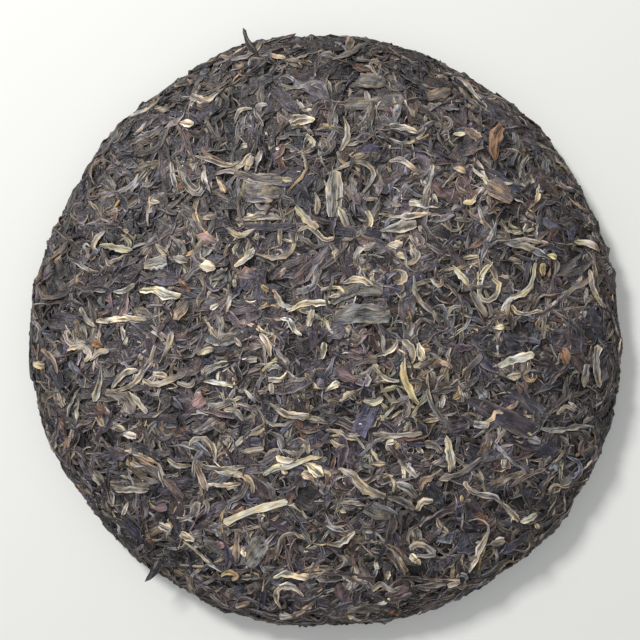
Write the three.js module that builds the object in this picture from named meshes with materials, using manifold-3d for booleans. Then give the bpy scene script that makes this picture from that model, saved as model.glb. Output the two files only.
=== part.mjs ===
// A pressed cake of raw pu erh tea, lying face up: a low domed disc of whole, twisted tea leaves with a
// rounded rim, a flat ring underneath that it stands on, and the dimple that the knot of the press cloth
// leaves there. The leaves that show are thin strips fused on to the pressed mass, so that the whole cake is
// one solid.
// Millimetres, +Z up, origin on the ground under the middle of the cake.
import * as THREE from "three";
import Module from "manifold-3d";
import { mergeVertices } from "three/addons/utils/BufferGeometryUtils.js";

// Driving sizes of the cake
const CAKE_RADIUS = 99;
const CAKE_HEIGHT = 25;
const SHOULDER_RADIUS = 90;
const SHOULDER_HEIGHT = 15;
const WIDEST_HEIGHT = 7;
const FOOT_RADIUS = 87;
const DIMPLE_MOUTH_RADIUS = 27;
const DIMPLE_DEPTH = 9;

// The rim isn't a true circle: each wave has its count round the cake, its height and its turn in degrees.
const RIM_WAVES = [
  { count: 2, height: 0.4, turn: 111 },
  { count: 3, height: 0.95, turn: 104 },
  { count: 5, height: 0.42, turn: 180 },
  { count: 7, height: 0.23, turn: 62 },
  { count: 12, height: 0.28, turn: 148 },
];

// The pressed mass lies this far under the outermost leaves, and its surface is uneven.
const LEAF_RELIEF = 1.3;
const MASS_BUMP = 0.45;
const MASS_RINGS = 20;
const MASS_SECTORS = 44;

// Strips have this many stations along them and sides round them. Their root is how deep they reach into the
// mass, and the fold share how far the edges of a rolled one hang down.
const STRIP_STATIONS = 5;
const STRIP_SIDES = 4;
const STRIP_ROOT = 1.3;
const FOLD_SHARE = 0.3;
const PATH_STEPS = 24;

// Strewn leaves: how many, how far they reach from the middle, and how far apart their middles stay.
const FACE_LEAVES = { count: 68, reach: 95, apart: 5.6 };
const RIM_LEAVES = { count: 26, lowest: -3, highest: 6, apart: 9 };
const UNDER_LEAVES = { count: 22, reach: 90, apart: 11 };
const TRIES_PER_LEAF = 60;

// Leaf ends that stand straight out of the rim: how high their upper side lies, and how deep they are under
// their widest place.
const SPUR_HEIGHT = 13.5;
const SPUR_ROOT = 0.6;

// The leaves underneath reach this far through the ground, where the press flattens them.
const FOOT_PRESS = 0.4;

// The turning centre of the outline, from the middle of the whole cake's box.
const CENTRE_SHIFT = [0.27, -1.09];

const SEED = 357;
const SAME_POINT = 1e-4;
const OUTLINE_SAMPLES = 600;

const TEA_COLOUR = 0x5d544d;

// The outermost outline, from the middle of the face round the rim to the middle of the dimple.
function cakeOutline() {
  const outline = new THREE.Path();
  outline.moveTo(0, CAKE_HEIGHT);
  outline.bezierCurveTo(38, CAKE_HEIGHT, 72, 21.5, SHOULDER_RADIUS, SHOULDER_HEIGHT);
  outline.bezierCurveTo(96, 12.8, CAKE_RADIUS, 10.2, CAKE_RADIUS, WIDEST_HEIGHT);
  outline.bezierCurveTo(CAKE_RADIUS, 3.4, 94.5, 0, FOOT_RADIUS, 0);
  outline.lineTo(DIMPLE_MOUTH_RADIUS, 0);
  outline.bezierCurveTo(20, 0, 16, DIMPLE_DEPTH, 0, DIMPLE_DEPTH);
  return outline;
}

const outline = cakeOutline();
outline.arcLengthDivisions = 400;
const outlineLength = outline.getLength();
const widestAt = widestPlace();

// How far along the outline its widest place is.
function widestPlace() {
  const samples = outline.getSpacedPoints(OUTLINE_SAMPLES);
  let best = 0;
  samples.forEach((point, i) => {
    if (point.x > samples[best].x) best = i;
  });
  return (best / OUTLINE_SAMPLES) * outlineLength;
}

// A repeatable random number from 0 to 1.
function makeRandom(seed) {
  let state = seed;
  return () => {
    state = (Math.imul(state, 1664525) + 1013904223) >>> 0;
    return state / 4294967296;
  };
}

// The share by which the rim stands out at an angle.
function rimWave(angle) {
  return RIM_WAVES.reduce(
    (sum, wave) =>
      sum + wave.height * Math.cos(wave.count * angle + THREE.MathUtils.degToRad(wave.turn)),
    0,
  ) / CAKE_RADIUS;
}

// The point at a distance along the outline and an angle round the cake, raised off the outermost surface.
function skinPoint(along, angle, rise) {
  const share = THREE.MathUtils.clamp(along / outlineLength, 0, 1);
  const spot = outline.getPointAt(share);
  const tangent = outline.getTangentAt(share);
  const radius = Math.max(0, spot.x - tangent.y * rise);
  const height = spot.y + tangent.x * rise;
  const swell = 1 + rimWave(angle) * (radius / CAKE_RADIUS) ** 2;
  return new THREE.Vector3(
    radius * swell * Math.cos(angle),
    radius * swell * Math.sin(angle),
    height,
  );
}

// Three flat charts of the skin, and a level one for what stands clear of it. Each turns a place on its
// sheet, and a rise, into a point of the cake.
const charts = {
  face: (a, b, rise) => skinPoint(Math.hypot(a, b), Math.atan2(b, a), rise),
  rim: (a, b, rise) => skinPoint(widestAt - b, a / CAKE_RADIUS, rise),
  under: (a, b, rise) => skinPoint(outlineLength - Math.hypot(a, b), -Math.atan2(b, a), rise),
  level: (a, b, rise) => new THREE.Vector3(a, b, SPUR_HEIGHT + rise),
};

// A closed geometry as a manifold-3d solid.
function solidOf(wasm, geometry) {
  const bare = geometry.clone();
  bare.deleteAttribute("normal");
  bare.deleteAttribute("uv");
  const merged = mergeVertices(bare, SAME_POINT);
  const corners = merged.index.array;
  const kept = [];
  for (let i = 0; i < corners.length; i += 3) {
    const [a, b, c] = corners.slice(i, i + 3);
    if (a !== b && b !== c && a !== c) kept.push(a, b, c);
  }
  return new wasm.Manifold(
    new wasm.Mesh({
      numProp: 3,
      vertProperties: new Float32Array(merged.attributes.position.array),
      triVerts: new Uint32Array(kept),
    }),
  );
}

// The pressed mass under the leaves: a turned body with an uneven surface.
function pressedMass() {
  const stations = Array.from({ length: MASS_RINGS + 1 }, (_, i) => i / MASS_RINGS);
  const profile = stations.map((share) => outline.getPointAt(share));
  profile[0].x = 0;
  profile[MASS_RINGS].x = 0;
  const body = new THREE.LatheGeometry(profile.reverse(), MASS_SECTORS);
  const position = body.getAttribute("position");
  for (let sector = 0; sector <= MASS_SECTORS; sector++) {
    const angle = ((sector % MASS_SECTORS) / MASS_SECTORS) * 2 * Math.PI;
    for (let ring = 0; ring <= MASS_RINGS; ring++) {
      const along = (1 - ring / MASS_RINGS) * outlineLength;
      const pole = ring === 0 || ring === MASS_RINGS;
      const bump = pole ? 0 : MASS_BUMP * (2 * bumpAt(sector % MASS_SECTORS, ring) - 1);
      const point = skinPoint(along, pole ? 0 : angle, bump - LEAF_RELIEF);
      if (pole) point.set(0, 0, point.z);
      position.setXYZ(sector * (MASS_RINGS + 1) + ring, point.x, point.y, point.z);
    }
  }
  return body;
}

// A repeatable bump from 0 to 1 for one place of the pressed mass.
function bumpAt(sector, ring) {
  const mixed = Math.sin(sector * 127.1 + ring * 311.7) * 43758.5453;
  return mixed - Math.floor(mixed);
}

// A leaf strip laid on a chart: it starts as a ball, is drawn out along a bending path and pressed flat.
// bend is how far it turns from end to end in degrees, and wave how far it swings to either side of that.
// proud is how far it stands out of the outermost surface, and root how deep it reaches where it isn't
// STRIP_ROOT.
function leafStrip(chart, leaf) {
  const strip = new THREE.SphereGeometry(1, STRIP_SIDES, STRIP_STATIONS);
  const position = strip.getAttribute("position");
  const path = leafPath(leaf);
  const point = new THREE.Vector3();
  for (let i = 0; i < position.count; i++) {
    point.fromBufferAttribute(position, i);
    const share = THREE.MathUtils.clamp(Math.acos(THREE.MathUtils.clamp(point.y, -1, 1)) / Math.PI, 0, 1);
    const girth = Math.hypot(point.x, point.z);
    const turn = Math.atan2(point.z, point.x) + (leaf.flat ? Math.PI / STRIP_SIDES : 0);
    const fullness = girth < 1e-6 ? 0 : Math.sqrt(girth);
    const spot = path(share);
    const widest = leaf.flat ? Math.SQRT1_2 : 1;
    const across = (-Math.sin(turn) / widest) * fullness * leaf.width * 0.5;
    const up = Math.cos(turn) > 0 ? leaf.thick * fullness : -(leaf.root ?? STRIP_ROOT) * fullness;
    const lift = leaf.flat || Math.abs(Math.cos(turn)) > 0.5 ? up : -FOLD_SHARE * leaf.thick * fullness;
    const placed = chart(
      spot.x - across * Math.sin(spot.heading),
      spot.y + across * Math.cos(spot.heading),
      lift - leaf.thick + (leaf.proud ?? 0),
    );
    position.setXYZ(i, placed.x, placed.y, placed.z);
  }
  return strip;
}

// The middle line of a leaf on its chart, as a function of the share of its length.
function leafPath(leaf) {
  const heading = THREE.MathUtils.degToRad(leaf.heading);
  const bend = THREE.MathUtils.degToRad(leaf.bend);
  const wave = THREE.MathUtils.degToRad(leaf.wave ?? 0);
  const turnAt = (share) => heading + bend * (share - 0.5) + wave * Math.sin(2 * Math.PI * share);
  const spots = [new THREE.Vector2(0, 0)];
  for (let i = 0; i < PATH_STEPS; i++) {
    const turn = turnAt((i + 0.5) / PATH_STEPS);
    const last = spots[i];
    spots.push(
      new THREE.Vector2(
        last.x + (Math.cos(turn) * leaf.length) / PATH_STEPS,
        last.y + (Math.sin(turn) * leaf.length) / PATH_STEPS,
      ),
    );
  }
  const middle = spots[PATH_STEPS / 2];
  return (share) => {
    const place = Math.min(share * PATH_STEPS, PATH_STEPS - 1e-6);
    const i = Math.floor(place);
    const spot = spots[i].clone().lerp(spots[i + 1], place - i);
    return {
      x: leaf.x + spot.x - middle.x,
      y: leaf.y + spot.y - middle.y,
      heading: turnAt(share),
    };
  };
}

// The few leaves that stand out on the face, each in its own place.
function landmarkLeaves() {
  const strand = { flat: false, thick: 1.1 };
  const blade = { flat: true, thick: 0.9 };
  return [
    { ...blade, x: -24, y: -61, heading: 23, length: 24, width: 3, bend: 0, thick: 1.4 },
    { ...blade, x: 2, y: 41, heading: 80, length: 21, width: 8, bend: 10 },
    { ...blade, x: 57, y: 63, heading: 68, length: 12, width: 5, bend: -25 },
    { ...blade, x: 68, y: 52, heading: -32, length: 15, width: 4.6, bend: 8 },
    { ...strand, x: 50, y: 17, heading: -85, length: 30, width: 2, bend: 210 },
    { ...strand, x: 72, y: 15, heading: -118, length: 27, width: 2, bend: -10, wave: 30 },
    { ...blade, x: 36, y: 17, heading: -52, length: 24, width: 3.6, bend: 0 },
    { ...strand, x: 27, y: -20, heading: -84, length: 26, width: 2.2, bend: 35 },
    { ...blade, x: 17, y: -48, heading: -40, length: 24, width: 4, bend: 10, wave: 15 },
    { ...blade, x: 52, y: -33, heading: -25, length: 28, width: 5.5, bend: -15 },
    { ...blade, x: 43, y: -39, heading: -82, length: 14, width: 3.4, bend: 10 },
    { ...strand, x: -12, y: 29, heading: 30, length: 34, width: 1.9, bend: 60, wave: -40 },
    { ...strand, x: -70, y: 1, heading: -10, length: 12, width: 2.2, bend: -15 },
    { ...strand, x: -37, y: -11, heading: 72, length: 13, width: 2, bend: 15 },
    { ...blade, x: -50, y: 14, heading: 4, length: 16, width: 3, bend: -12 },
    { ...blade, x: -66, y: 42, heading: 40, length: 34, width: 6, bend: 12 },
    { ...blade, x: 8, y: 52, heading: 8, length: 26, width: 6, bend: -8 },
    { ...blade, x: 20, y: -88, heading: 12, length: 26, width: 5, bend: 14 },
    { ...strand, x: 43, y: -74, heading: 62, length: 25, width: 2.6, bend: 20 },
    { ...strand, x: -46, y: 62, heading: -70, length: 26, width: 2, bend: 200 },
    { ...blade, x: -40, y: -62, heading: -60, length: 20, width: 5, bend: 15 },
    { ...blade, x: 62, y: -10, heading: 62, length: 15, width: 6.5, bend: 0 },
  ];
}

// The broad pressed leaf underneath whose flat side the cake is set down on.
function restLeaf() {
  return { x: 57, y: 0, heading: 90, length: 26, width: 9, bend: 14, thick: 0.9, flat: true };
}

// A twig and two leaf ends that stick out over the rim.
function rimSpurs() {
  const spur = { thick: 0.9, root: SPUR_ROOT, flat: true };
  return [
    { ...spur, x: -24.7, y: 93.6, heading: 120, length: 11, width: 2.7, bend: 16 },
    { ...spur, x: -12.7, y: 94.4, heading: 24, length: 8, width: 2.2, bend: 10 },
    { ...spur, x: -54.3, y: -74.4, heading: -126, length: 12, width: 3.8, bend: 14 },
  ];
}

// Leaves strewn over a chart by a rule: big blades first, each clear of the middles of those before it.
function strewnLeaves(random, { count, apart }, spot, taken) {
  const leaves = [];
  for (let tries = 0; leaves.length < count && tries < count * TRIES_PER_LEAF; tries++) {
    const place = spot();
    const big = 1 - leaves.length / count;
    const flat = random() < 0.35 + 0.3 * big;
    const length = 8 + 12 * big * random() + 6 * random();
    const leaf = {
      x: place.x,
      y: place.y,
      heading: place.heading,
      length,
      width: flat ? 2.6 + 3.2 * big * random() : 1.7 + 0.8 * random(),
      bend: (random() - 0.5) * (flat ? 50 : 170),
      wave: (random() - 0.5) * (flat ? 20 : 70),
      thick: 0.75 + 0.4 * random(),
      flat,
    };
    const clear = [...taken, ...leaves].every(
      (other) => Math.hypot(other.x - leaf.x, other.y - leaf.y) > apart + 0.12 * other.length,
    );
    if (clear) leaves.push(leaf);
  }
  return leaves;
}

// Every strip of the cake, as pairs of a chart and a leaf.
function allLeaves(random) {
  const landmarks = landmarkLeaves();
  const roundSpot = (reach) => () => {
    const radius = reach * Math.sqrt(random());
    const angle = 2 * Math.PI * random();
    return {
      x: radius * Math.cos(angle),
      y: radius * Math.sin(angle),
      heading: 360 * random(),
    };
  };
  const rimSpot = () => ({
    x: (2 * random() - 1) * Math.PI * CAKE_RADIUS,
    y: RIM_LEAVES.lowest + (RIM_LEAVES.highest - RIM_LEAVES.lowest) * random(),
    heading: (random() - 0.5) * 50,
  });
  const face = strewnLeaves(random, FACE_LEAVES, roundSpot(FACE_LEAVES.reach), landmarks);
  const rim = strewnLeaves(random, RIM_LEAVES, rimSpot, []);
  const under = [
    restLeaf(),
    ...strewnLeaves(random, UNDER_LEAVES, roundSpot(UNDER_LEAVES.reach), [restLeaf()]),
  ];
  return [
    ...[...landmarks, ...face].map((leaf) => [charts.face, leaf]),
    ...rimSpurs().map((leaf) => [charts.level, leaf]),
    ...rim.map((leaf) => [charts.rim, leaf]),
    ...under.map((leaf) => [charts.under, { ...leaf, proud: FOOT_PRESS }]),
  ];
}

// Everything above the ground, as the press plate leaves it.
function aboveGround() {
  const block = new THREE.BoxGeometry(4 * CAKE_RADIUS, 4 * CAKE_RADIUS, 2 * CAKE_HEIGHT);
  block.translate(0, 0, CAKE_HEIGHT);
  return block;
}

// The fused cake as one three.js geometry.
function fusedCake(wasm) {
  const mass = solidOf(wasm, pressedMass());
  const strips = allLeaves(makeRandom(SEED)).map(([chart, leaf]) => solidOf(wasm, leafStrip(chart, leaf)));
  const fused = strips.reduce((cake, strip) => cake.add(strip), mass);
  const pressed = fused.intersect(solidOf(wasm, aboveGround()));
  return geometryOf(largestShell(pressed));
}

// The outer shell of a solid, without loose scraps or sealed hollows.
function largestShell(solid) {
  return solid.decompose().sort((one, other) => other.volume() - one.volume())[0];
}

// A manifold-3d solid as a three.js geometry.
function geometryOf(solid) {
  const mesh = solid.getMesh();
  return new THREE.BufferGeometry()
    .setAttribute("position", new THREE.BufferAttribute(mesh.vertProperties, mesh.numProp))
    .setIndex(new THREE.BufferAttribute(mesh.triVerts, 1));
}

const wasm = await Module();
wasm.setup();

const teaCake = new THREE.Mesh(
  fusedCake(wasm).translate(...CENTRE_SHIFT, 0),
  new THREE.MeshStandardMaterial({ color: TEA_COLOUR, roughness: 0.75, metalness: 0 }),
);
teaCake.name = "tea_cake";

const group = new THREE.Group();
group.add(teaCake);

export default group;
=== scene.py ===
"""A pressed cake of raw pu erh tea, built leaf by leaf over a dark core.

Sizes inside the classes are in millimetres. A leaf is laid out on a flat sheet of the cake's skin, rests on
the leaves under it, and is then wrapped on to the cake. Every mesh is written in metres.
"""

import logging
from dataclasses import dataclass, fields
from enum import Enum, auto

import bmesh
import bpy
import numpy as np
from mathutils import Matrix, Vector


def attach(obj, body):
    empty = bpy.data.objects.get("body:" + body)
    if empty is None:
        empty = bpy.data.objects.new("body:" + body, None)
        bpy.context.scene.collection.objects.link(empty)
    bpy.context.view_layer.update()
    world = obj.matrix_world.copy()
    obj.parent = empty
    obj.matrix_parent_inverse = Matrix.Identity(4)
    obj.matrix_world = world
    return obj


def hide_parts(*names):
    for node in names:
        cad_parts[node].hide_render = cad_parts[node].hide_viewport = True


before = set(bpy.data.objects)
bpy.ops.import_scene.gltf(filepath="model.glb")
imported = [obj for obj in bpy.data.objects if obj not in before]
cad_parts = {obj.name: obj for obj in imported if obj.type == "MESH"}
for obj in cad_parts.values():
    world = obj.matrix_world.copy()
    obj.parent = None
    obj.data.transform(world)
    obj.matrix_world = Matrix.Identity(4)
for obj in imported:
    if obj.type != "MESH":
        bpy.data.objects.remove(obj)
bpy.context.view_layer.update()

CAKE_NODE = "tea_cake"
BODY = "root"
MM = 0.001
SEED = 357
CREASE = 36.0
ROUND = 2 * np.pi
NUMBER, COLOUR = "NodeSocketFloat", "NodeSocketColor"
LOG = logging.getLogger(CAKE_NODE)

Tone = tuple[int, int, int]
Place = tuple[float, float, float]
Limits = tuple[float, float]
Random = np.random.Generator
Socket = bpy.types.NodeSocket


def linear(tone: Tone) -> np.ndarray:
    """Turn a screen colour, from 0 to 255, into linear light from 0 to 1."""
    share = np.asarray(tone, float) / 255.0
    return np.where(share <= 0.04045, share / 12.92, ((share + 0.055) / 1.055) ** 2.4)


def opaque(tone: Tone) -> tuple[float, ...]:
    """Turn a screen colour into an opaque linear one, as the colour sockets take it."""
    return (*linear(tone), 1.0)


# The skin of the cake


class Sheet(Enum):
    """The flat sheets that the skin of the cake is laid out on."""

    FACE = auto()
    RIM = auto()
    UNDER = auto()


@dataclass(frozen=True)
class CakeSizes:
    """Driving sizes of the cake, in millimetres, the same as those of its solid.

    Each rim wave has how many times it goes round, its height, and where it starts, in degrees.
    """

    radius: float = 99.0
    height: float = 25.0
    shoulder_radius: float = 90.0
    shoulder_height: float = 15.0
    widest_height: float = 7.0
    foot_radius: float = 87.0
    dimple_mouth: float = 27.0
    dimple_depth: float = 9.0
    core_depth: float = 2.7
    centre_shift: tuple[float, float] = (0.27, -1.09)
    rim_waves: tuple[tuple[int, float, float], ...] = (
        (2, 0.40, 111.0),
        (3, 0.95, 104.0),
        (5, 0.42, 180.0),
        (7, 0.23, 62.0),
        (12, 0.28, 148.0),
    )


class CakeSkin:
    """The outermost surface of the cake: an outline turned round the axis, with a slightly uneven rim."""

    STROKE_STEPS = 240

    def __init__(self, sizes: CakeSizes) -> None:
        """Measure the outline once, so that places along it can be looked up.

        Args:
            sizes: the driving sizes.
        """
        self.sizes = sizes
        top, wide = sizes.height, sizes.radius
        shoulder, widest = (sizes.shoulder_radius, sizes.shoulder_height), (wide, sizes.widest_height)
        mouth, depth = sizes.dimple_mouth, sizes.dimple_depth
        strokes = (
            ((0, top), (38, top), (72, 21.5), shoulder),
            (shoulder, (96, 12.8), (wide, 10.2), widest),
            (widest, (wide, 3.4), (94.5, 0), (sizes.foot_radius, 0)),
            ((sizes.foot_radius, 0), (67, 0), (47, 0), (mouth, 0)),
            ((mouth, 0), (20, 0), (16, depth), (0, depth)),
        )
        share = np.linspace(0, 1, self.STROKE_STEPS)[:, None]
        rest = 1 - share
        weights = np.hstack([rest**3, 3 * share * rest**2, 3 * share**2 * rest, share**3])
        spots = np.vstack([weights @ np.asarray(stroke, float) for stroke in strokes])
        kept = np.r_[True, np.linalg.norm(np.diff(spots, axis=0), axis=1) > 1e-6]
        self.spots = spots[kept]
        self.along = np.r_[0, np.cumsum(np.linalg.norm(np.diff(self.spots, axis=0), axis=1))]
        self.tangents = np.gradient(self.spots, self.along, axis=0)
        self.length = float(self.along[-1])
        self.widest_along = float(self.along[np.argmax(self.spots[:, 0])])

    def swell(self, radius: np.ndarray, angle: np.ndarray) -> np.ndarray:
        """Find how much the uneven rim widens the cake, less and less towards the middle."""
        waves = sum(h * np.cos(n * angle + np.radians(turn)) for n, h, turn in self.sizes.rim_waves)
        return 1 + waves / self.sizes.radius * (radius / self.sizes.radius) ** 2

    def place(self, along: np.ndarray, angle: np.ndarray, rise: np.ndarray) -> np.ndarray:
        """Find points of the skin.

        Args:
            along: distance along the outline from the middle of the face.
            angle: turn round the cake, in radians.
            rise: height over the skin.

        Returns:
            The points, with x, y and z last.
        """
        along = np.clip(along, 0, self.length)
        radius, height = (np.interp(along, self.along, self.spots[:, k]) for k in (0, 1))
        out, up = (np.interp(along, self.along, self.tangents[:, k]) for k in (0, 1))
        radius = np.maximum(0, radius - up * rise)
        swell = self.swell(radius, angle)
        shift_x, shift_y = self.sizes.centre_shift
        x, y = radius * swell * np.cos(angle) + shift_x, radius * swell * np.sin(angle) + shift_y
        return np.stack([x, y, height + out * rise], axis=-1)

    def wrap(self, sheet: Sheet, spots: np.ndarray, rise: np.ndarray) -> np.ndarray:
        """Wrap places of a flat sheet on to the cake.

        Args:
            sheet: which sheet they lie on.
            spots: places on the sheet, with their two coordinates last.
            rise: height over the skin.

        Returns:
            The points, with x, y and z last.
        """
        a, b = spots[..., 0], spots[..., 1]
        if sheet is Sheet.FACE:
            return self.place(np.hypot(a, b), np.arctan2(b, a), rise)
        if sheet is Sheet.RIM:
            return self.place(self.widest_along - b, a / self.sizes.radius, rise)
        return self.place(self.length - np.hypot(a, b), -np.arctan2(b, a), rise)


# Finishes


@dataclass(frozen=True)
class NodeDesk:
    """Adds and joins the nodes of one material or node group."""

    tree: bpy.types.NodeTree

    def feed(self, node: bpy.types.Node, inputs: dict) -> bpy.types.Node:
        """Set or join inputs of a node.

        Args:
            node: the node.
            inputs: socket name or number to a value, or to the output socket that feeds it.

        Returns:
            The same node.
        """
        for key, value in inputs.items():
            if isinstance(value, Socket):
                self.tree.links.new(value, node.inputs[key])
            else:
                node.inputs[key].default_value = value
        return node

    def add(self, kind: str, inputs: dict | None = None, **settings: object) -> bpy.types.Node:
        """Add a node.

        Args:
            kind: the node's type name.
            inputs: what its inputs take, as in feed.
            settings: the node's own properties.

        Returns:
            The new node.
        """
        node = self.tree.nodes.new(kind)
        for name, value in settings.items():
            setattr(node, name, value)
        return self.feed(node, inputs or {})

    def times(self, first: object, second: object) -> Socket:
        """Multiply two values."""
        return self.add("ShaderNodeMath", {0: first, 1: second}, operation="MULTIPLY").outputs[0]

    def plus(self, first: object, second: object) -> Socket:
        """Add two values."""
        return self.add("ShaderNodeMath", {0: first, 1: second}, operation="ADD").outputs[0]

    def spread(self, value: object, low: float, high: float, to_low: object, to_high: object) -> Socket:
        """Map a range of values on to another, held at its ends."""
        sockets = {"Value": value, "From Min": low, "From Max": high, "To Min": to_low, "To Max": to_high}
        return self.add("ShaderNodeMapRange", sockets).outputs["Result"]

    def noise(self, where: object, scale: float, detail: float) -> Socket:
        """Read a noise texture."""
        sockets = {"Vector": where, "Scale": scale, "Detail": detail}
        return self.add("ShaderNodeTexNoise", sockets).outputs["Fac"]

    def streaks(self, where: object, scale: Place, detail: float) -> Socket:
        """Read a noise texture that is stretched by its scale across and along a leaf."""
        mapping = self.add("ShaderNodeMapping", {"Vector": where, "Scale": scale})
        return self.noise(mapping.outputs["Vector"], 1.0, detail)

    def blend(self, share: object, first: object, second: object) -> Socket:
        """Blend from one colour to another by a share."""
        return self.add("ShaderNodeMix", {0: share, 6: first, 7: second}, data_type="RGBA").outputs[2]

    def brighten(self, colour: object, share: object) -> Socket:
        """Multiply a colour by a value."""
        sockets = {0: colour, "Scale": share}
        return self.add("ShaderNodeVectorMath", sockets, operation="SCALE").outputs["Vector"]

    def bump(self, height: object, strength: float, depth: float) -> Socket:
        """Turn a height into a normal, with its depth in millimetres."""
        sockets = {"Height": height, "Strength": strength, "Distance": depth * MM}
        return self.add("ShaderNodeBump", sockets).outputs["Normal"]


def new_group(name: str, takes: dict, gives: dict) -> tuple[NodeDesk, dict, bpy.types.Node]:
    """Make an empty shader node group.

    Args:
        name: the group's name.
        takes: input name to socket type.
        gives: output name to socket type.

    Returns:
        A desk to work on the group, what comes in by name, and its output node.
    """
    group = bpy.data.node_groups.new(name, "ShaderNodeTree")
    for in_out, sockets in (("INPUT", takes), ("OUTPUT", gives)):
        for socket, kind in sockets.items():
            group.interface.new_socket(socket, in_out=in_out, socket_type=kind)
    desk = NodeDesk(group)
    entry = desk.add("NodeGroupInput")
    return desk, {socket: entry.outputs[socket] for socket in takes}, desk.add("NodeGroupOutput")


def new_material(name: str) -> tuple[bpy.types.Material, NodeDesk, bpy.types.Node]:
    """Make a material that is ready for nodes.

    Args:
        name: the material's name.

    Returns:
        The material, a desk to work on it and its shader.
    """
    material = bpy.data.materials.new(name)
    material.use_nodes = True
    return material, NodeDesk(material.node_tree), material.node_tree.nodes["Principled BSDF"]


class TeaShaders:
    """The two effects that the finishes share: fibres that run along a leaf, and powder in the hollows.

    The scales of the fibre patterns are per millimetre across, along and among the leaves. Those of the
    powder are per metre.
    """

    FINE = (2.4, 0.24, 1.0)
    BROAD = (0.6, 0.25, 1.0)
    CRINKLE = (0.9, 0.6, 1.0)
    AGEING = (0.5, 0.2, 1.37)
    YOUNG_CAST = (0.92, 0.975, 1.12, 1.0)
    OLD_CAST = (1.16, 1.055, 0.83, 1.0)
    # The pale tone of the ridges and edges: painted highlight along with wear.
    RIDGE_HIGHLIGHT_AND_WEAR_TONE = (186, 176, 160)
    DUST = (190, 172, 140)
    SPECKS = 2900.0
    DRIFTS = 90.0

    def __init__(self) -> None:
        """Build both node groups once."""
        self.fibre = self.fibre_group()
        self.powder = self.powder_group()

    def fibre_group(self) -> bpy.types.NodeTree:
        """Make the group that streaks a leaf along its length, darkens its grooves with painted shade along
        with dust, and lightens its ridges and edges with painted highlights along with wear.

        Returns:
            The node group.
        """
        takes = dict.fromkeys(("Streaks", "Mottle", "Worn", "Groove shade and dust", "Ridge highlight and wear"), NUMBER)
        gives = {"Color": COLOUR, "Height": NUMBER, "Wear": NUMBER}
        desk, entry, leave = new_group("Leaf fibre", takes, gives)
        tint = desk.add("ShaderNodeAttribute", attribute_name="tint").outputs["Color"]
        fibre = desk.add("ShaderNodeAttribute", attribute_name="fibre").outputs["Vector"]
        ridge = desk.add("ShaderNodeAttribute", attribute_name="ridge").outputs["Fac"]
        fine = desk.streaks(fibre, self.FINE, 3.0)
        broad = desk.streaks(fibre, self.BROAD, 2.0)
        veins = desk.times(desk.spread(fine, 0.40, 0.60, -1.0, 1.0), entry["Streaks"])
        patches = desk.times(desk.spread(broad, 0.36, 0.64, -1.0, 1.0), entry["Mottle"])
        light = desk.spread(desk.plus(veins, patches), -1.0, 1.0, 0.0, 1.0)
        body = desk.blend(light, desk.brighten(tint, 0.25), desk.brighten(tint, entry["Worn"]))
        # Painted shade darkens the grooves, along with dust, and a painted highlight lifts the ridges.
        body = desk.brighten(body, desk.spread(ridge, 0.0, 0.7, entry["Groove shade and dust"], 1.15))
        age = desk.spread(desk.streaks(fibre, self.AGEING, 2.0), 0.38, 0.62, 0.0, 1.0)
        cast = desk.blend(age, self.YOUNG_CAST, self.OLD_CAST)
        body = desk.add("ShaderNodeVectorMath", {0: body, 1: cast}, operation="MULTIPLY").outputs["Vector"]
        # Ridges and edges blend towards a pale tone: painted highlight along with wear.
        edge = desk.times(desk.spread(ridge, 0.62, 1.0, 0.0, 1.0), entry["Ridge highlight and wear"])
        edge = desk.times(edge, desk.spread(fine, 0.4, 0.6, 0.15, 1.0))
        pale = desk.brighten(desk.blend(0.3, body, opaque(self.RIDGE_HIGHLIGHT_AND_WEAR_TONE)), 1.3)
        crinkle = desk.streaks(fibre, self.CRINKLE, 3.0)
        height = desk.plus(desk.times(fine, 0.7), desk.times(crinkle, 0.6))
        desk.feed(leave, {"Color": desk.blend(edge, body, pale), "Height": height, "Wear": broad})
        return desk.tree

    def powder_group(self) -> bpy.types.NodeTree:
        """Make the group that strews tea powder, which is finer than any leaf, over a colour.

        Returns:
            The node group.
        """
        takes = {"Color": COLOUR, "Powder": NUMBER}
        desk, entry, leave = new_group("Tea powder", takes, {"Color": COLOUR})
        where = desk.add("ShaderNodeTexCoord").outputs["Object"]
        specks = desk.spread(desk.noise(where, self.SPECKS, 1.0), 0.66, 0.75, 0.0, 1.0)
        drifts = desk.spread(desk.noise(where, self.DRIFTS, 2.0), 0.35, 0.65, 0.2, 1.0)
        share = desk.times(desk.times(specks, drifts), entry["Powder"])
        desk.feed(leave, {"Color": desk.blend(share, entry["Color"], opaque(self.DUST))})
        return desk.tree


@dataclass(frozen=True)
class LeafFinish:
    """How the surface of one kind of dry leaf looks. Its relief is in millimetres."""

    name: str
    streaks: float
    mottle: float
    worn: float
    # How dark the grooves are painted, for shade and dust, and how pale the ridges, for highlight and wear.
    groove_shade_and_dust: float
    pale_ridge: float
    powder: float
    smooth: float
    rough: float
    relief: float
    sheen: float = 0.0

    def material(self, shaders: TeaShaders) -> bpy.types.Material:
        """Make the material, whose colour comes from each leaf's own tint.

        Args:
            shaders: the shared effects.

        Returns:
            The material.
        """
        material, desk, shader = new_material(self.name)
        looks = {
            "Streaks": self.streaks,
            "Mottle": self.mottle,
            "Worn": self.worn,
            "Groove shade and dust": self.groove_shade_and_dust,
            "Ridge highlight and wear": self.pale_ridge,
        }
        fibre = desk.add("ShaderNodeGroup", looks, node_tree=shaders.fibre)
        dusted = {"Color": fibre.outputs["Color"], "Powder": self.powder}
        powder = desk.add("ShaderNodeGroup", dusted, node_tree=shaders.powder)
        desk.feed(shader, {
            "Base Color": powder.outputs["Color"],
            "Roughness": desk.spread(fibre.outputs["Wear"], 0.3, 0.7, self.smooth, self.rough),
            "Normal": desk.bump(fibre.outputs["Height"], 0.8, self.relief),
            "Sheen Weight": self.sheen,
            "Sheen Roughness": 0.4,
        })
        return material


# Kinds of leaf


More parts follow.
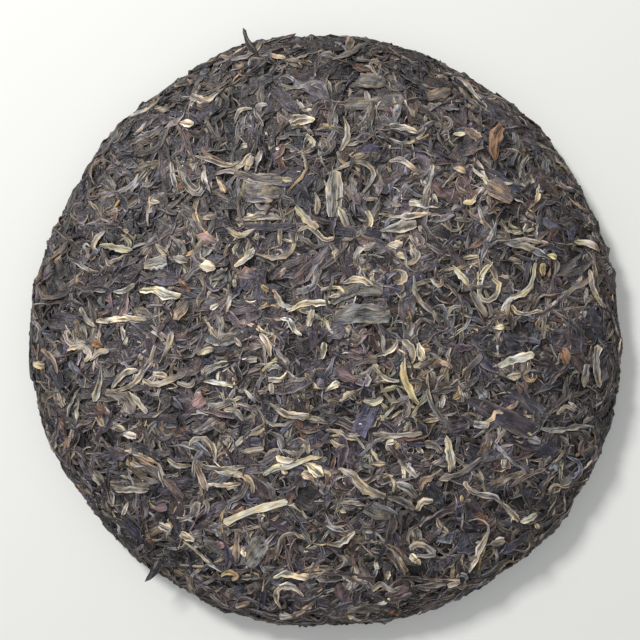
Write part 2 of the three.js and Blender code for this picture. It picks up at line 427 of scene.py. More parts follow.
@dataclass(frozen=True)
class LeafKind:
    """One kind of leaf in the heap: its colours, the ranges of its sizes in millimetres, and its shape.

    bend, wave and twist are in degrees. lobe is how deep the grooves along a rolled leaf are, fold how high
    the pleats along a flat one are in millimetres, crumple how far its surface is dented, and kink how far it
    strays from its line. curl is how far the edges stand up, blunt how square the ends are, and ragged how
    torn the edges are. counts are how many lie on the face, the rim and the underside, and level how late in
    the heap they come.
    """

    name: str
    slot: str
    finish: LeafFinish
    palette: tuple[Tone, ...]
    sides: int
    stations: int
    length: Limits
    width: Limits
    thick: Limits
    counts: tuple[int, int, int]
    bend: float = 60.0
    wave: float = 20.0
    twist: float = 60.0
    lobe: float = 0.2
    curl: Limits = (0.0, 0.0)
    blunt: float = 0.5
    ragged: float = 0.1
    fold: float = 0.0
    crumple: float = 0.04
    kink: float = 0.2
    level: Limits = (0.0, 1.0)


DARK_FINISH = LeafFinish(
    "dark leaf", streaks=0.7, mottle=0.3, worn=1.8, groove_shade_and_dust=0.38, pale_ridge=0.9, powder=0.3, smooth=0.32,
    rough=0.55, relief=0.9,
)
BLADE_FINISH = LeafFinish(
    "dark blade", streaks=0.5, mottle=0.5, worn=1.65, groove_shade_and_dust=0.55, pale_ridge=0.6, powder=0.4, smooth=0.34,
    rough=0.55, relief=1.0,
)
OLIVE_FINISH = LeafFinish(
    "olive leaf", streaks=0.9, mottle=0.35, worn=1.8, groove_shade_and_dust=0.45, pale_ridge=0.7, powder=0.3, smooth=0.42,
    rough=0.65, relief=0.9,
)
GOLD_FINISH = LeafFinish(
    "golden bud", streaks=0.75, mottle=0.4, worn=1.3, groove_shade_and_dust=0.72, pale_ridge=0.3, powder=0.1, smooth=0.5,
    rough=0.75, relief=0.8, sheen=0.1,
)
RUSSET_FINISH = LeafFinish(
    "russet leaf", streaks=0.7, mottle=0.5, worn=1.5, groove_shade_and_dust=0.6, pale_ridge=0.3, powder=0.2, smooth=0.45,
    rough=0.7, relief=0.9,
)
STEM_FINISH = LeafFinish(
    "pale stem", streaks=0.4, mottle=0.2, worn=1.3, groove_shade_and_dust=0.8, pale_ridge=0.2, powder=0.1, smooth=0.55,
    rough=0.75, relief=0.5,
)

DEEP_TONES = ((40, 33, 36), (46, 39, 42), (37, 33, 39), (52, 44, 46))
DARK_TONES = (
    (58, 49, 53), (66, 55, 56), (47, 44, 54), (74, 64, 65), (51, 50, 61), (78, 62, 57), (57, 51, 63),
)
BLADE_TONES = (
    (60, 55, 64), (53, 50, 60), (68, 63, 68), (58, 50, 55), (50, 45, 55), (74, 64, 64), (84, 80, 82),
)
OLIVE_TONES = ((86, 81, 80), (106, 101, 97), (76, 72, 73), (67, 62, 65), (126, 120, 113), (94, 88, 85))
GREY_TONES = ((104, 100, 94), (118, 113, 105), (92, 89, 86), (130, 124, 113), (108, 100, 90))
GOLD_TONES = (
    (162, 152, 137), (175, 165, 149), (142, 134, 124), (190, 181, 164), (167, 150, 129), (134, 127, 118),
)
RUSSET_TONES = ((94, 74, 64), (84, 68, 61), (108, 80, 62), (80, 66, 62), (92, 77, 69))
STEM_TONES = ((200, 182, 146), (184, 166, 132), (168, 150, 120))

FLAT_SHAPE = {"bend": 40, "lobe": 0.08, "curl": (-0.3, 0.4), "blunt": 0.75, "twist": 30, "ragged": 0.34}
ROLLED_SHAPE = {
    "bend": 90, "wave": 34, "twist": 220, "lobe": 0.3, "blunt": 0.7, "ragged": 0.26, "crumple": 0.1,
}
BENT_SHAPE = {
    "bend": 200, "wave": 65, "twist": 80, "lobe": 0.34, "blunt": 0.7, "ragged": 0.18, "crumple": 0.06,
}

DEEP_BLADE = LeafKind(
    "deep_blades", "dark_leaf", DARK_FINISH, DEEP_TONES, sides=6, stations=6, length=(10, 20),
    width=(6.0, 11.0), thick=(0.4, 0.6), counts=(620, 150, 420), bend=40, wave=10, twist=14, lobe=0.05,
    fold=0.4, crumple=0.14, curl=(-0.2, 0.2), blunt=0.75, ragged=0.3, level=(-1.0, -0.1),
)
DARK_BLADE = LeafKind(
    "dark_blades", "dark_leaf", BLADE_FINISH, BLADE_TONES, sides=8, stations=9, length=(7, 18),
    width=(2.8, 6.0), thick=(0.35, 0.6), counts=(520, 90, 260), wave=16, fold=0.35, crumple=0.12,
    **FLAT_SHAPE,
)
DARK_TWIST = LeafKind(
    "dark_twists", "dark_leaf", DARK_FINISH, DARK_TONES, sides=6, stations=11, length=(6, 20),
    width=(1.0, 2.6), thick=(0.55, 1.0), counts=(840, 200, 340), curl=(-0.2, 0.3), level=(0.25, 0.95),
    **ROLLED_SHAPE,
)
OLIVE_BLADE = LeafKind(
    "olive_blades", "olive_leaf", OLIVE_FINISH, GREY_TONES, sides=8, stations=8, length=(5, 14),
    width=(2.2, 4.6), thick=(0.35, 0.55), counts=(330, 60, 170), wave=14, fold=0.3, crumple=0.1,
    level=(0.2, 0.95), **FLAT_SHAPE,
)
OLIVE_TWIST = LeafKind(
    "olive_twists", "olive_leaf", OLIVE_FINISH, OLIVE_TONES, sides=6, stations=11, length=(6, 20),
    width=(0.9, 2.4), thick=(0.55, 1.0), counts=(740, 180, 320), curl=(-0.2, 0.35), level=(0.25, 1.0),
    **ROLLED_SHAPE,
)
OLIVE_STRAND = LeafKind(
    "olive_strands", "olive_leaf", OLIVE_FINISH, OLIVE_TONES, sides=6, stations=13, length=(8, 25),
    width=(0.8, 1.4), thick=(0.45, 0.75), counts=(760, 130, 240), level=(0.35, 1.0), **BENT_SHAPE,
)
GOLD_STRAND = LeafKind(
    "golden_strands", "golden_bud", GOLD_FINISH, GOLD_TONES, sides=6, stations=14, length=(5, 22),
    width=(0.8, 1.5), thick=(0.45, 0.8), counts=(550, 80, 140), level=(0.45, 1.0), **BENT_SHAPE,
)
FINE_FIBRE = LeafKind(
    "fine_fibres", "olive_leaf", OLIVE_FINISH, OLIVE_TONES[:2] + GOLD_TONES, sides=4, stations=7,
    length=(4, 11), width=(0.35, 0.7), thick=(0.35, 0.6), counts=(1000, 200, 300), bend=160, wave=60,
    twist=40, lobe=0.1, blunt=0.7, kink=0.12, level=(0.4, 1.0),
)
RUSSET_LEAF = LeafKind(
    "russet_leaves", "russet_leaf", RUSSET_FINISH, RUSSET_TONES, sides=8, stations=9, length=(5, 14),
    width=(1.4, 3.6), thick=(0.5, 0.9), counts=(110, 26, 60), twist=50, lobe=0.15, fold=0.25,
    curl=(-0.2, 0.3), blunt=0.6, ragged=0.25, level=(0.2, 0.95),
)
PALE_STEM = LeafKind(
    "pale_stems", "pale_stem", STEM_FINISH, STEM_TONES, sides=8, stations=9, length=(5, 14),
    width=(0.8, 1.5), thick=(0.6, 0.9), counts=(26, 4, 12), bend=16, wave=6, twist=20, lobe=0.1, blunt=0.95,
    ragged=0.06, kink=0.08, level=(0.4, 0.9),
)
CRUMB = LeafKind(
    "leaf_crumbs", "dark_leaf", OLIVE_FINISH, DARK_TONES + OLIVE_TONES + GOLD_TONES[:1], sides=4,
    stations=5, length=(1.6, 5.5), width=(0.5, 1.5), thick=(0.35, 0.7), counts=(2150, 460, 900), bend=70,
    wave=0, twist=50, lobe=0.25, blunt=0.6, ragged=0.25, level=(0.1, 1.0),
)
KINDS = (
    DEEP_BLADE, DARK_BLADE, DARK_TWIST, OLIVE_BLADE, OLIVE_TWIST, OLIVE_STRAND, GOLD_STRAND, FINE_FIBRE,
    RUSSET_LEAF, PALE_STEM, CRUMB,
)

CREAM = (202, 192, 171)
GOLD = (192, 173, 148)
STRAW = (168, 155, 138)
KHAKI = (136, 128, 118)
MOSS = (110, 102, 95)
SLATE = (108, 104, 100)
BARK = (114, 98, 86)
PEACH = (190, 164, 139)
AMBER = (196, 163, 124)
RUST = (120, 90, 67)
MAROON = (92, 73, 74)
INK = (54, 52, 62)
SOOT = (58, 51, 58)


@dataclass(frozen=True)
class TracedLeaves:
    """Leaves of one kind and tone that stand out on the face, by their width in millimetres.

    Each leaf has its own line of places on the sheet, x and y in turn.
    """

    kind: LeafKind
    tone: Tone
    lines: dict[float, tuple[tuple[float, ...], ...]]


TRACED = (
    TracedLeaves(DARK_BLADE, INK, {
        3.4: ((0.5, 33, 18, 32), (-62, -36, -53.5, -40)),
        4.2: ((50.5, 52.5, 62, 46.5), (-9.5, 48, -7, 42.5, -5, 39.5), (-65.5, 38.5, -62, 32.5),
            (32.5, -47, 38, -57.5), (43, -43, 53, -38.5), (42.5, -69.5, 49, -65), (13, -85, 20.5, -89.5)),
        5.2: ((57, 0.5, 61, -5.5), (86, 8, 92.5, -1), (-18, -34.5, -16, -40)),
        6.5: ((-5, -8, 0.5, -13.5),),
    }),
    TracedLeaves(DARK_BLADE, MAROON, {
        5.2: ((79.5, -6, 85.5, -12.5), (-45.5, -24.5, -39, -20), (19.5, -86, 27.5, -84)),
        6.5: ((34, 48.5, 43, 42.5), (43.5, 50.5, 47, 43.5), (3.5, -82.5, 6.5, -89.5)),
    }),
    TracedLeaves(DARK_BLADE, MOSS, {
        2.7: ((-72, -49, -57.5, -48.5),),
        4.2: ((6.5, -91, 20, -93),),
        5.2: ((5, 74, 25, 75.5), (10, 82.5, 19, 81.5), (-26.5, 47, -14.5, 45)),
        6.5: ((7.5, 51, 7, 43),),
    }),
    TracedLeaves(DARK_BLADE, SLATE, {
        4.2: ((1, 10, 5.5, 13, 11, 14.5, 18, 13), (-40, -61.5, -32, -64)),
        6.5: ((2.5, 5, 9.5, 6.5, 20.5, 6), (-20.5, -65.5, -26.5, -76)),
        8: ((12, -55.5, 22, -59),),
    }),
    TracedLeaves(DARK_BLADE, SOOT, {
        3.4: ((-80, 12, -70, 20),),
        4.2: ((-18.5, 79.5, -9.5, 71.5), (35, -77, 40, -72.5)),
        6.5: ((44.5, -21, 68.5, -32), (1.5, -36.5, 9.5, -40)),
        8: ((72.5, -2, 86.5, -3.5), (-91, 4, -80.5, 4.5)),
    }),
    TracedLeaves(RUSSET_LEAF, BARK, {
        4.2: ((32.5, 77.5, 41, 80.5),),
        6.5: ((51.5, 48.5, 60.5, 43),),
    }),
    TracedLeaves(RUSSET_LEAF, MAROON, {
        4.2: ((-56, -57, -51.5, -56), (-37, -68, -33, -68.5)),
        5.2: ((2.5, -11, 9, -14.5),),
    }),
    TracedLeaves(RUSSET_LEAF, PEACH, {
        1.8: ((-35.5, 50.5, -32.5, 45.5),),
        3.4: ((-8, -44, -4, -46.5),),
    }),
    TracedLeaves(RUSSET_LEAF, RUST, {
        3.4: ((76.5, -4.5, 77.5, -10), (-76, -2.5, -72.5, -4)),
        4.2: ((58, 68.5, 55.5, 66, 54, 61.5, 54.5, 56.5),),
    }),
    TracedLeaves(OLIVE_TWIST, BARK, {
        1.8: ((18, -67.5, 21.5, -69.5, 25, -73, 31, -74.5), (31, -80, 38, -80.5, 44, -80.5)),
        2.2: ((-42, -41, -41, -44, -38.5, -50), (-29, -63, -29.5, -74.5), (30, -50.5, 30.5, -47, 34, -45.5)),
        2.7: ((8, 99.5, 7, 93),),
        3.4: ((45, 66.5, 50, 63),),
    }),
    TracedLeaves(OLIVE_TWIST, CREAM, {
        1.8: ((-37, 8, -34.5, 9.5), (-1, -2.5, -1.5, -7.5)),
        2.7: ((29, -3, 30.5, -8.5), (-60.5, 14, -54.5, 14, -50.5, 12.5, -46, 12),
            (38, -32.5, 39, -37.5, 39.5, -44), (19, -34.5, 22, -34)),
        4.2: ((-6.5, -41.5, -1.5, -45),),
    }),
    TracedLeaves(OLIVE_TWIST, GOLD, {
        2.2: ((-0.5, -18, 4, -15), (-17.5, -79.5, -15, -78, -7.5, -79, -1, -77.5), (27, -71.5, 30, -74.5),
            (28.5, -36, 30.5, -38)),
        2.7: ((-39.5, 23, -36, 21.5), (-41, 22, -36, 21)),
    }),
    TracedLeaves(OLIVE_TWIST, KHAKI, {
        1.8: ((-21, 58.5, -22.5, 55, -23, 51.5), (-31, 12, -32, 7), (-50.5, 32, -46, 27.5, -45.5, 25.5),
            (-80, 9, -78.5, 5.5, -75, 2), (-73, -8.5, -73, -15, -75, -22), (22.5, -40, 26, -43, 29, -46),
            (8, -79.5, 10.5, -81, 13.5, -81.5)),
        2.2: ((25, 75.5, 28.5, 70.5), (46.5, -28.5, 51.5, -29), (-39, -12.5, -35, -10, -31, -9),
            (24, -2, 26.5, -4.5, 27, -9), (-55, 28.5, -51, 25.5)),
        2.7: ((16.5, 33, 23, 34, 29, 35.5), (-27, 36.5, -20, 37.5, -14, 36.5), (57.5, -13.5, 62, -13),
            (84.5, -10, 84, -17), (22.5, -47.5, 26, -49.5, 28.5, -52.5)),
        3.4: ((-49.5, 24.5, -44.5, 23), (53, -68.5, 57.5, -66.5)),
        4.2: ((-55, -62, -50.5, -63.5),),
        5.2: ((-59, 22, -51.5, 24),),
    }),
    TracedLeaves(OLIVE_TWIST, MOSS, {
        1.8: ((-19, -47.5, -17, -51, -17.5, -54, -20.5, -56), (-28, -80, -24.5, -79),
            (27.5, -83, 39.5, -82)),
        2.2: ((33.5, -18.5, 41.5, -17), (-70, -51, -58, -50.5), (19, -52, 24, -53.5, 28.5, -56.5),
            (31, -35, 34, -35, 36.5, -38)),
        2.7: ((-41.5, -54, -43.5, -59), (49.5, -39, 43, -44, 35.5, -46.5)),
        3.4: ((-30.5, 51.5, -20.5, 49.5, -13.5, 49), (-71, -18.5, -65, -20.5, -62, -25.5)),
    }),
    TracedLeaves(OLIVE_TWIST, SLATE, {
        1.8: ((-19, -31, -15, -33, -14, -36.5),),
        4.2: ((-37, 17.5, -32.5, 20), (64.5, -33.5, 68.5, -35)),
    }),
    TracedLeaves(OLIVE_TWIST, STRAW, {
        1.8: ((-42.5, 57.5, -37, 56, -31, 54, -28, 55), (37, -19.5, 36, -23.5),
            (21, 20.5, 24, 19.5, 24, 17, 21, 16.5), (-27, -8, -22, -8),
            (-33, -24, -29.5, -24.5, -26.5, -27.5), (4, -21.5, 7, -19, 9, -21), (-75, 4, -70, 4.5, -62.5, 5),
            (-16, -39, -14, -40, -10, -40), (-15, -91, -17, -86, -15.5, -82.5, -11, -82.5, -7.5, -86.5),
            (35.5, -59.5, 37, -62.5, 39, -64), (20, -77.5, 19.5, -80.5)),
        2.2: ((20, 67, 25, 66.5, 29.5, 65), (-29.5, 21.5, -26, 24, -23, 27.5),
            (4.5, 16, 9.5, 17.5, 14.5, 15.5), (-21.5, 0.5, -19, -3, -18, -7), (-18, -22, -14, -25, -5.5, -26),
            (-55.5, -12.5, -51, -13.5), (-54.5, -42, -53.5, -46, -52.5, -49.5), (-65.5, -32.5, -61.5, -33),
            (-47.5, -64.5, -43, -67), (-27.5, -69, -26.5, -72), (29, -57, 30.5, -54, 34, -53.5),
            (-0.5, -68, 4, -68, 9, -63.5)),
        2.7: ((-12, 67, -8.5, 68.5, -4, 68.5), (-45, 78, -40.5, 76.5, -35.5, 79), (-48, 69, -43.5, 68),
            (89.5, -4, 88.5, -9.5, 89.5, -17.5), (19.5, 28.5, 24, 28.5), (-16, -94.5, -11.5, -93.5),
            (56, -40, 56.5, -43)),
    }),
    TracedLeaves(OLIVE_TWIST, KHAKI, {
        4.8: ((2.5, 52, 1.5, 36.5),),
    }),
    TracedLeaves(OLIVE_STRAND, BARK, {
        1.5: ((-96.5, 16.5, -95, 13, -87.5, 12), (-94, -5, -89, -9, -88, -13), (-30.5, -90, -25.5, -88.5),
            (58.5, -49, 62.5, -46, 70.5, -43.5)),
    }),
    TracedLeaves(OLIVE_STRAND, CREAM, {
        1.2: ((-64, -1, -65, -3.5),),
        1.5: ((-15, 5, -12.5, 4.5, -10, 1, -8, -0.5), (-39.5, -15, -34.5, -15.5, -29.5, -16.5),
            (14.5, -7.5, 16, -11.5, 19.5, -14.5, 23, -15)),
    }),
    TracedLeaves(OLIVE_STRAND, KHAKI, {
        1.2: ((-19, 73.5, -22, 73.5, -23, 71, -21, 68, -20.5, 66.5), (-30, 68, -28.5, 72, -24, 72.5),
            (75, -25.5, 77, -23.5, 80.5, -25), (-86, 27.5, -85.5, 25.5, -81, 23, -77, 20.5, -74, 20),
            (-65, -55, -67.5, -60)),
        1.5: ((30.5, 61.5, 32.5, 59.5, 35, 55.5), (34, 54.5, 33, 50, 31, 44, 30.5, 40.5),
            (40.5, 37, 46.5, 36.5), (38, 88, 44.5, 85.5, 48.5, 80.5, 53, 74.5),
            (-50.5, 56, -49.5, 50, -48, 45), (-56, 45.5, -57, 43, -54, 42.5), (54.5, -0.5, 55.5, -4),
            (32, -11.5, 32, -18, 33.5, -23, 36.5, -27, 39.5, -32.5),
            (51.5, 27, 55, 30, 60, 30, 64.5, 30.5, 70.5, 29.5), (-69, 13.5, -65, 14, -62, 16),
            (-54.5, -3, -57.5, -10.5, -61.5, -15.5, -68, -18.5), (-51.5, -40, -49, -42, -43.5, -42.5),
            (14.5, -84.5, 18, -82, 20, -83.5, 24, -84), (-0.5, -61.5, 5.5, -63.5), (4, -54, 10.5, -54)),
        1.8: ((-69, -17.5, -66.5, -14, -63.5, -12, -60.5, -11.5), (-65, -18.5, -61.5, -21, -57.5, -25.5),
            (-44, -38.5, -43.5, -34.5, -40.5, -33.5, -36.5, -36, -35.5, -41),
            (-40.5, -41.5, -36, -43, -30.5, -43, -26, -42), (-70.5, -51.5, -71, -57),
            (43.5, -47, 46, -50, 50, -51.5, 54, -52.5, 56.5, -55)),
    }),
    TracedLeaves(OLIVE_STRAND, MOSS, {
        1.5: ((-45.5, 52.5, -44, 48, -42, 46.5, -41, 50),),
        1.8: ((-49, 57.5, -47, 51.5, -44.5, 46.5, -41.5, 44.5, -39.5, 47, -40, 52),),
    }),
    TracedLeaves(OLIVE_STRAND, PEACH, {
        1.2: ((-2, 14, 4, 14.5, 5.5, 13), (-0.5, 11.5, 4.5, 12.5)),
    }),
    TracedLeaves(OLIVE_STRAND, SLATE, {
        1.2: ((-16, -65, -15, -68, -16, -72),),
    }),
    TracedLeaves(OLIVE_STRAND, SOOT, {
        2.2: ((-26, 34.5, -18, 34, -10, 34.5),),
    }),
    TracedLeaves(OLIVE_STRAND, STRAW, {
        1.2: ((56.5, 37.5, 59, 33.5, 61.5, 32.5),
            (60.5, 38, 62.5, 38.5, 64.5, 38, 65, 35.5, 63, 33, 60, 32.5),
            (59, 9.5, 61.5, 7, 64.5, 6.5, 68, 7.5, 71, 7), (64.5, -9, 64.5, -11, 63, -13),
            (43.5, 24.5, 49, 25), (-29.5, -1, -27, -4)),
        1.5: ((16.5, 38.5, 21.5, 37.5, 33.5, 38.5), (-10.5, 57.5, -7.5, 58.5, -4.5, 61.5, -6, 63, -7.5, 60.5),
            (-10, 29, -9, 33, -5.5, 34, -2.5, 31.5, -0.5, 30, 2.5, 30.5),
            (9, 21.5, 9.5, 26, 12.5, 28, 15.5, 29), (-39.5, 6, -36.5, 1, -35, -1),
            (-19, -14.5, -14, -14, -12.5, -11.5), (14, -7.5, 16.5, -6.5, 20.5, -5, 22.5, -2),
            (-39, -48, -34.5, -48.5, -27.5, -48), (-0.5, -30.5, 3.5, -31, 7, -33, 9, -33, 12, -36.5)),
        1.8: ((-12.5, 7, -9.5, 9, -4.5, 10, 1, 10),),
    }),
    TracedLeaves(GOLD_STRAND, AMBER, {
        1.2: ((-65, -44, -63.5, -45.5),),
        1.5: ((69.5, 46, 68, 43), (40, -20.5, 42.5, -19.5), (-21, 15.5, -18.5, 14),
            (16.5, -18.5, 22.5, -16.5), (67.5, -61.5, 69, -63.5)),
        1.8: ((71.5, 25.5, 75, 25), (70, 23, 70.5, 19), (-35, -79.5, -31.5, -78, -29.5, -79, -31.5, -81)),
        2.2: ((24.5, -6, 24, -11.5, 26, -18, 29, -22.5), (-98.5, -10, -92.5, -10.5)),
    }),
    TracedLeaves(GOLD_STRAND, BARK, {
        1.5: ((-93, 24, -88, 28, -85.5, 31),),
        1.8: ((-57, -76, -52.5, -81.5),),
    }),
    TracedLeaves(GOLD_STRAND, CREAM, {
        1.2: ((11, 27, 13.5, 27.5, 15.5, 29), (-1, 5.5, -1.5, 2)),
        1.5: ((-16, 49.5, -11, 49), (-28, 60.5, -25, 60.5), (53.5, 2, 57, 2.5)),
    }),
    TracedLeaves(GOLD_STRAND, GOLD, {
        1.2: ((34, 45, 35.5, 42), (11, 20.5, 13.5, 20), (-29.5, 17.5, -29.5, 14.5), (4, -57, 6, -57)),
        1.5: ((41, 65, 45, 65), (12.5, 39.5, 14, 36, 13.5, 34),
            (53.5, 23.5, 50.5, 20.5, 48.5, 15.5, 49, 12, 51, 10.5, 54.5, 12.5, 55, 16, 52.5, 18),
            (16.5, -21, 18.5, -24, 17.5, -25.5), (15.5, -74, 16.5, -77)),
        1.8: ((67.5, 23.5, 67, 18.5, 65, 14.5, 60.5, 12, 57.5, 10.5, 56, 7), (-40, -6, -36, -4.5),
            (11.5, -21, 15.5, -21.5, 17.5, -20), (-41.5, -6.5, -36.5, -4.5),
            (-35.5, -44, -31.5, -44.5, -27.5, -45, -24.5, -47, -23.5, -51),
            (-20.5, -45, -16, -42.5, -10.5, -41.5, -6, -39.5, -1, -39), (62.5, -61, 68.5, -58.5)),
        2.2: ((-10, 41, -7.5, 37.5, -5, 35.5, -3, 33.5), (3.5, 40.5, 5.5, 36.5, 6.5, 34),
            (54.5, -10.5, 58.5, -8.5, 62, -7.5, 66.5, -6.5), (81.5, 30.5, 86.5, 30, 92, 27.5),
            (-74.5, 29, -70.5, 28.5, -66.5, 27.5, -63, 27)),
        2.7: ((40, 22, 44, 17, 47, 12.5),),
    }),
    TracedLeaves(GOLD_STRAND, KHAKI, {
        1.2: ((3.5, 8.5, 9.5, 9, 19.5, 7.5),),
        1.5: ((-15.5, 80.5, -9.5, 79.5, -2, 82), (86, 15, 85, 10),
            (68.5, -30.5, 76.5, -31, 81.5, -30, 88, -30.5), (2.5, -77, 5.5, -75.5, 6, -73.5, 4, -72)),
        2.2: ((46, 13.5, 48.5, 9.5, 51.5, 5.5),),
    }),
    TracedLeaves(GOLD_STRAND, MOSS, {
        1.8: ((2, 89.5, 6, 91.5, 11, 95, 13.5, 97),),
    }),
    TracedLeaves(GOLD_STRAND, PEACH, {
        1.2: ((-65.5, -37.5, -60, -39.5, -54.5, -42),),
        1.5: ((48, 45, 46.5, 42.5, 43.5, 42), (-65, 41, -61.5, 43.5), (29.5, -28, 35.5, -27),
            (43, -51.5, 43, -53.5), (23, -72, 25, -76, 26.5, -78)),
        1.8: ((40.5, 53.5, 43, 53, 44.5, 52), (22.5, 25.5, 25.5, 24)),
    }),
    TracedLeaves(GOLD_STRAND, STRAW, {
        0.9: ((-47, -67.5, -42.5, -71, -38, -75.5, -34, -78),),
        1.2: ((78, -22, 81, -24), (17.5, -0.5, 18, -6)),
        1.5: ((-0.5, 51, 4, 53, 9, 55, 13.5, 54, 15, 51, 13.5, 48, 11, 44.5), (65, 39.5, 67.5, 37.5),
            (-57, 74.5, -52, 73.5), (-18.5, 91, -13.5, 89.5), (-40, 37, -35.5, 38),
            (-32, 34, -28, 31.5, -23, 33.5), (-15, 33.5, -15, 28), (27, 27.5, 29, 25.5, 27.5, 23, 24, 22.5),
            (-18, -15.5, -17.5, -19), (-13, -11.5, -9.5, -14.5, -6.5, -14),
            (-65.5, 6.5, -63.5, 5.5, -57.5, 4.5), (-48, -15.5, -43, -16, -42.5, -14.5),
            (-40, -53.5, -38.5, -55, -39, -57.5, -40.5, -59), (-27.5, -37.5, -24, -37, -20, -36.5),
            (-6.5, -33, -6, -38), (1, -33.5, 3.5, -35.5, 6, -35.5), (13.5, -41.5, 18.5, -41)),
        1.8: ((20, 55.5, 23.5, 56, 26, 54.5, 29.5, 52), (5, 70.5, 6.5, 66.5, 6, 61.5, 4, 58.5),
            (-39.5, 54.5, -39.5, 50, -37.5, 45.5), (-24, 57, -26, 52.5), (-4, 45.5, -3, 41.5, -3.5, 38),
            (87, 21.5, 88, 15.5, 90, 12, 92.5, 8.5), (59, 24.5, 63, 23),
            (-23, 25.5, -16.5, 24, -11.5, 26, -10, 29), (-4.5, 8, -6, 2.5),
            (-73, 33.5, -75.5, 31, -76, 28, -74.5, 27),
            (-84.5, -5.5, -82.5, -4.5, -78, -4.5, -76.5, -7, -78.5, -9), (-76, -8.5, -73.5, -6, -70, -5.5),
            (-49.5, 1, -50.5, -3, -53.5, -9.5), (-59, -14.5, -54.5, -16, -50.5, -14.5, -45, -12.5),
            (-40.5, -33, -36.5, -37), (55.5, -53.5, 58.5, -56.5, 62, -60.5),
            (45.5, -60.5, 47.5, -59.5, 51, -60.5, 52, -63, 49.5, -69, 46.5, -78.5),
            (27, -70, 28.5, -68, 31.5, -68.5, 34.5, -71.5, 31.5, -72, 28.5, -71.5), (39.5, -83, 44, -81.5),
            (14.5, -31.5, 18, -32, 24.5, -32, 30.5, -31.5)),
        2.7: ((3.5, -43, 7.5, -44.5, 10.5, -48, 15.5, -51, 19, -52),),
    }),
    TracedLeaves(PALE_STEM, CREAM, {
        2.2: ((-33.5, -61, -27.5, -58, -20.5, -55.5, -12.5, -53.5),),
    }),
)


@dataclass
class LeafTable:
    """All the leaves of one sheet, as one array of each of their sizes."""

    kind: np.ndarray
    spot: np.ndarray
    heading: np.ndarray
    length: np.ndarray
    width: np.ndarray
    thick: np.ndarray
    curl: np.ndarray
    bend: np.ndarray
    wave: np.ndarray
    twist: np.ndarray
    lift: np.ndarray
    order: np.ndarray
    tint: np.ndarray
    tip: np.ndarray
    trace: np.ndarray
    base: np.ndarray | None = None

    @staticmethod
    def joined(tables: list["LeafTable"]) -> "LeafTable":
        """Put several tables into one, end to end."""
        names = [field.name for field in fields(LeafTable) if field.name != "base"]
        return LeafTable(*(np.concatenate([getattr(table, name) for table in tables]) for name in names))

    def picked(self, which: np.ndarray) -> "LeafTable":
        """Take some of the leaves, by a mask."""
        return LeafTable(*(getattr(self, field.name)[which] for field in fields(self)))


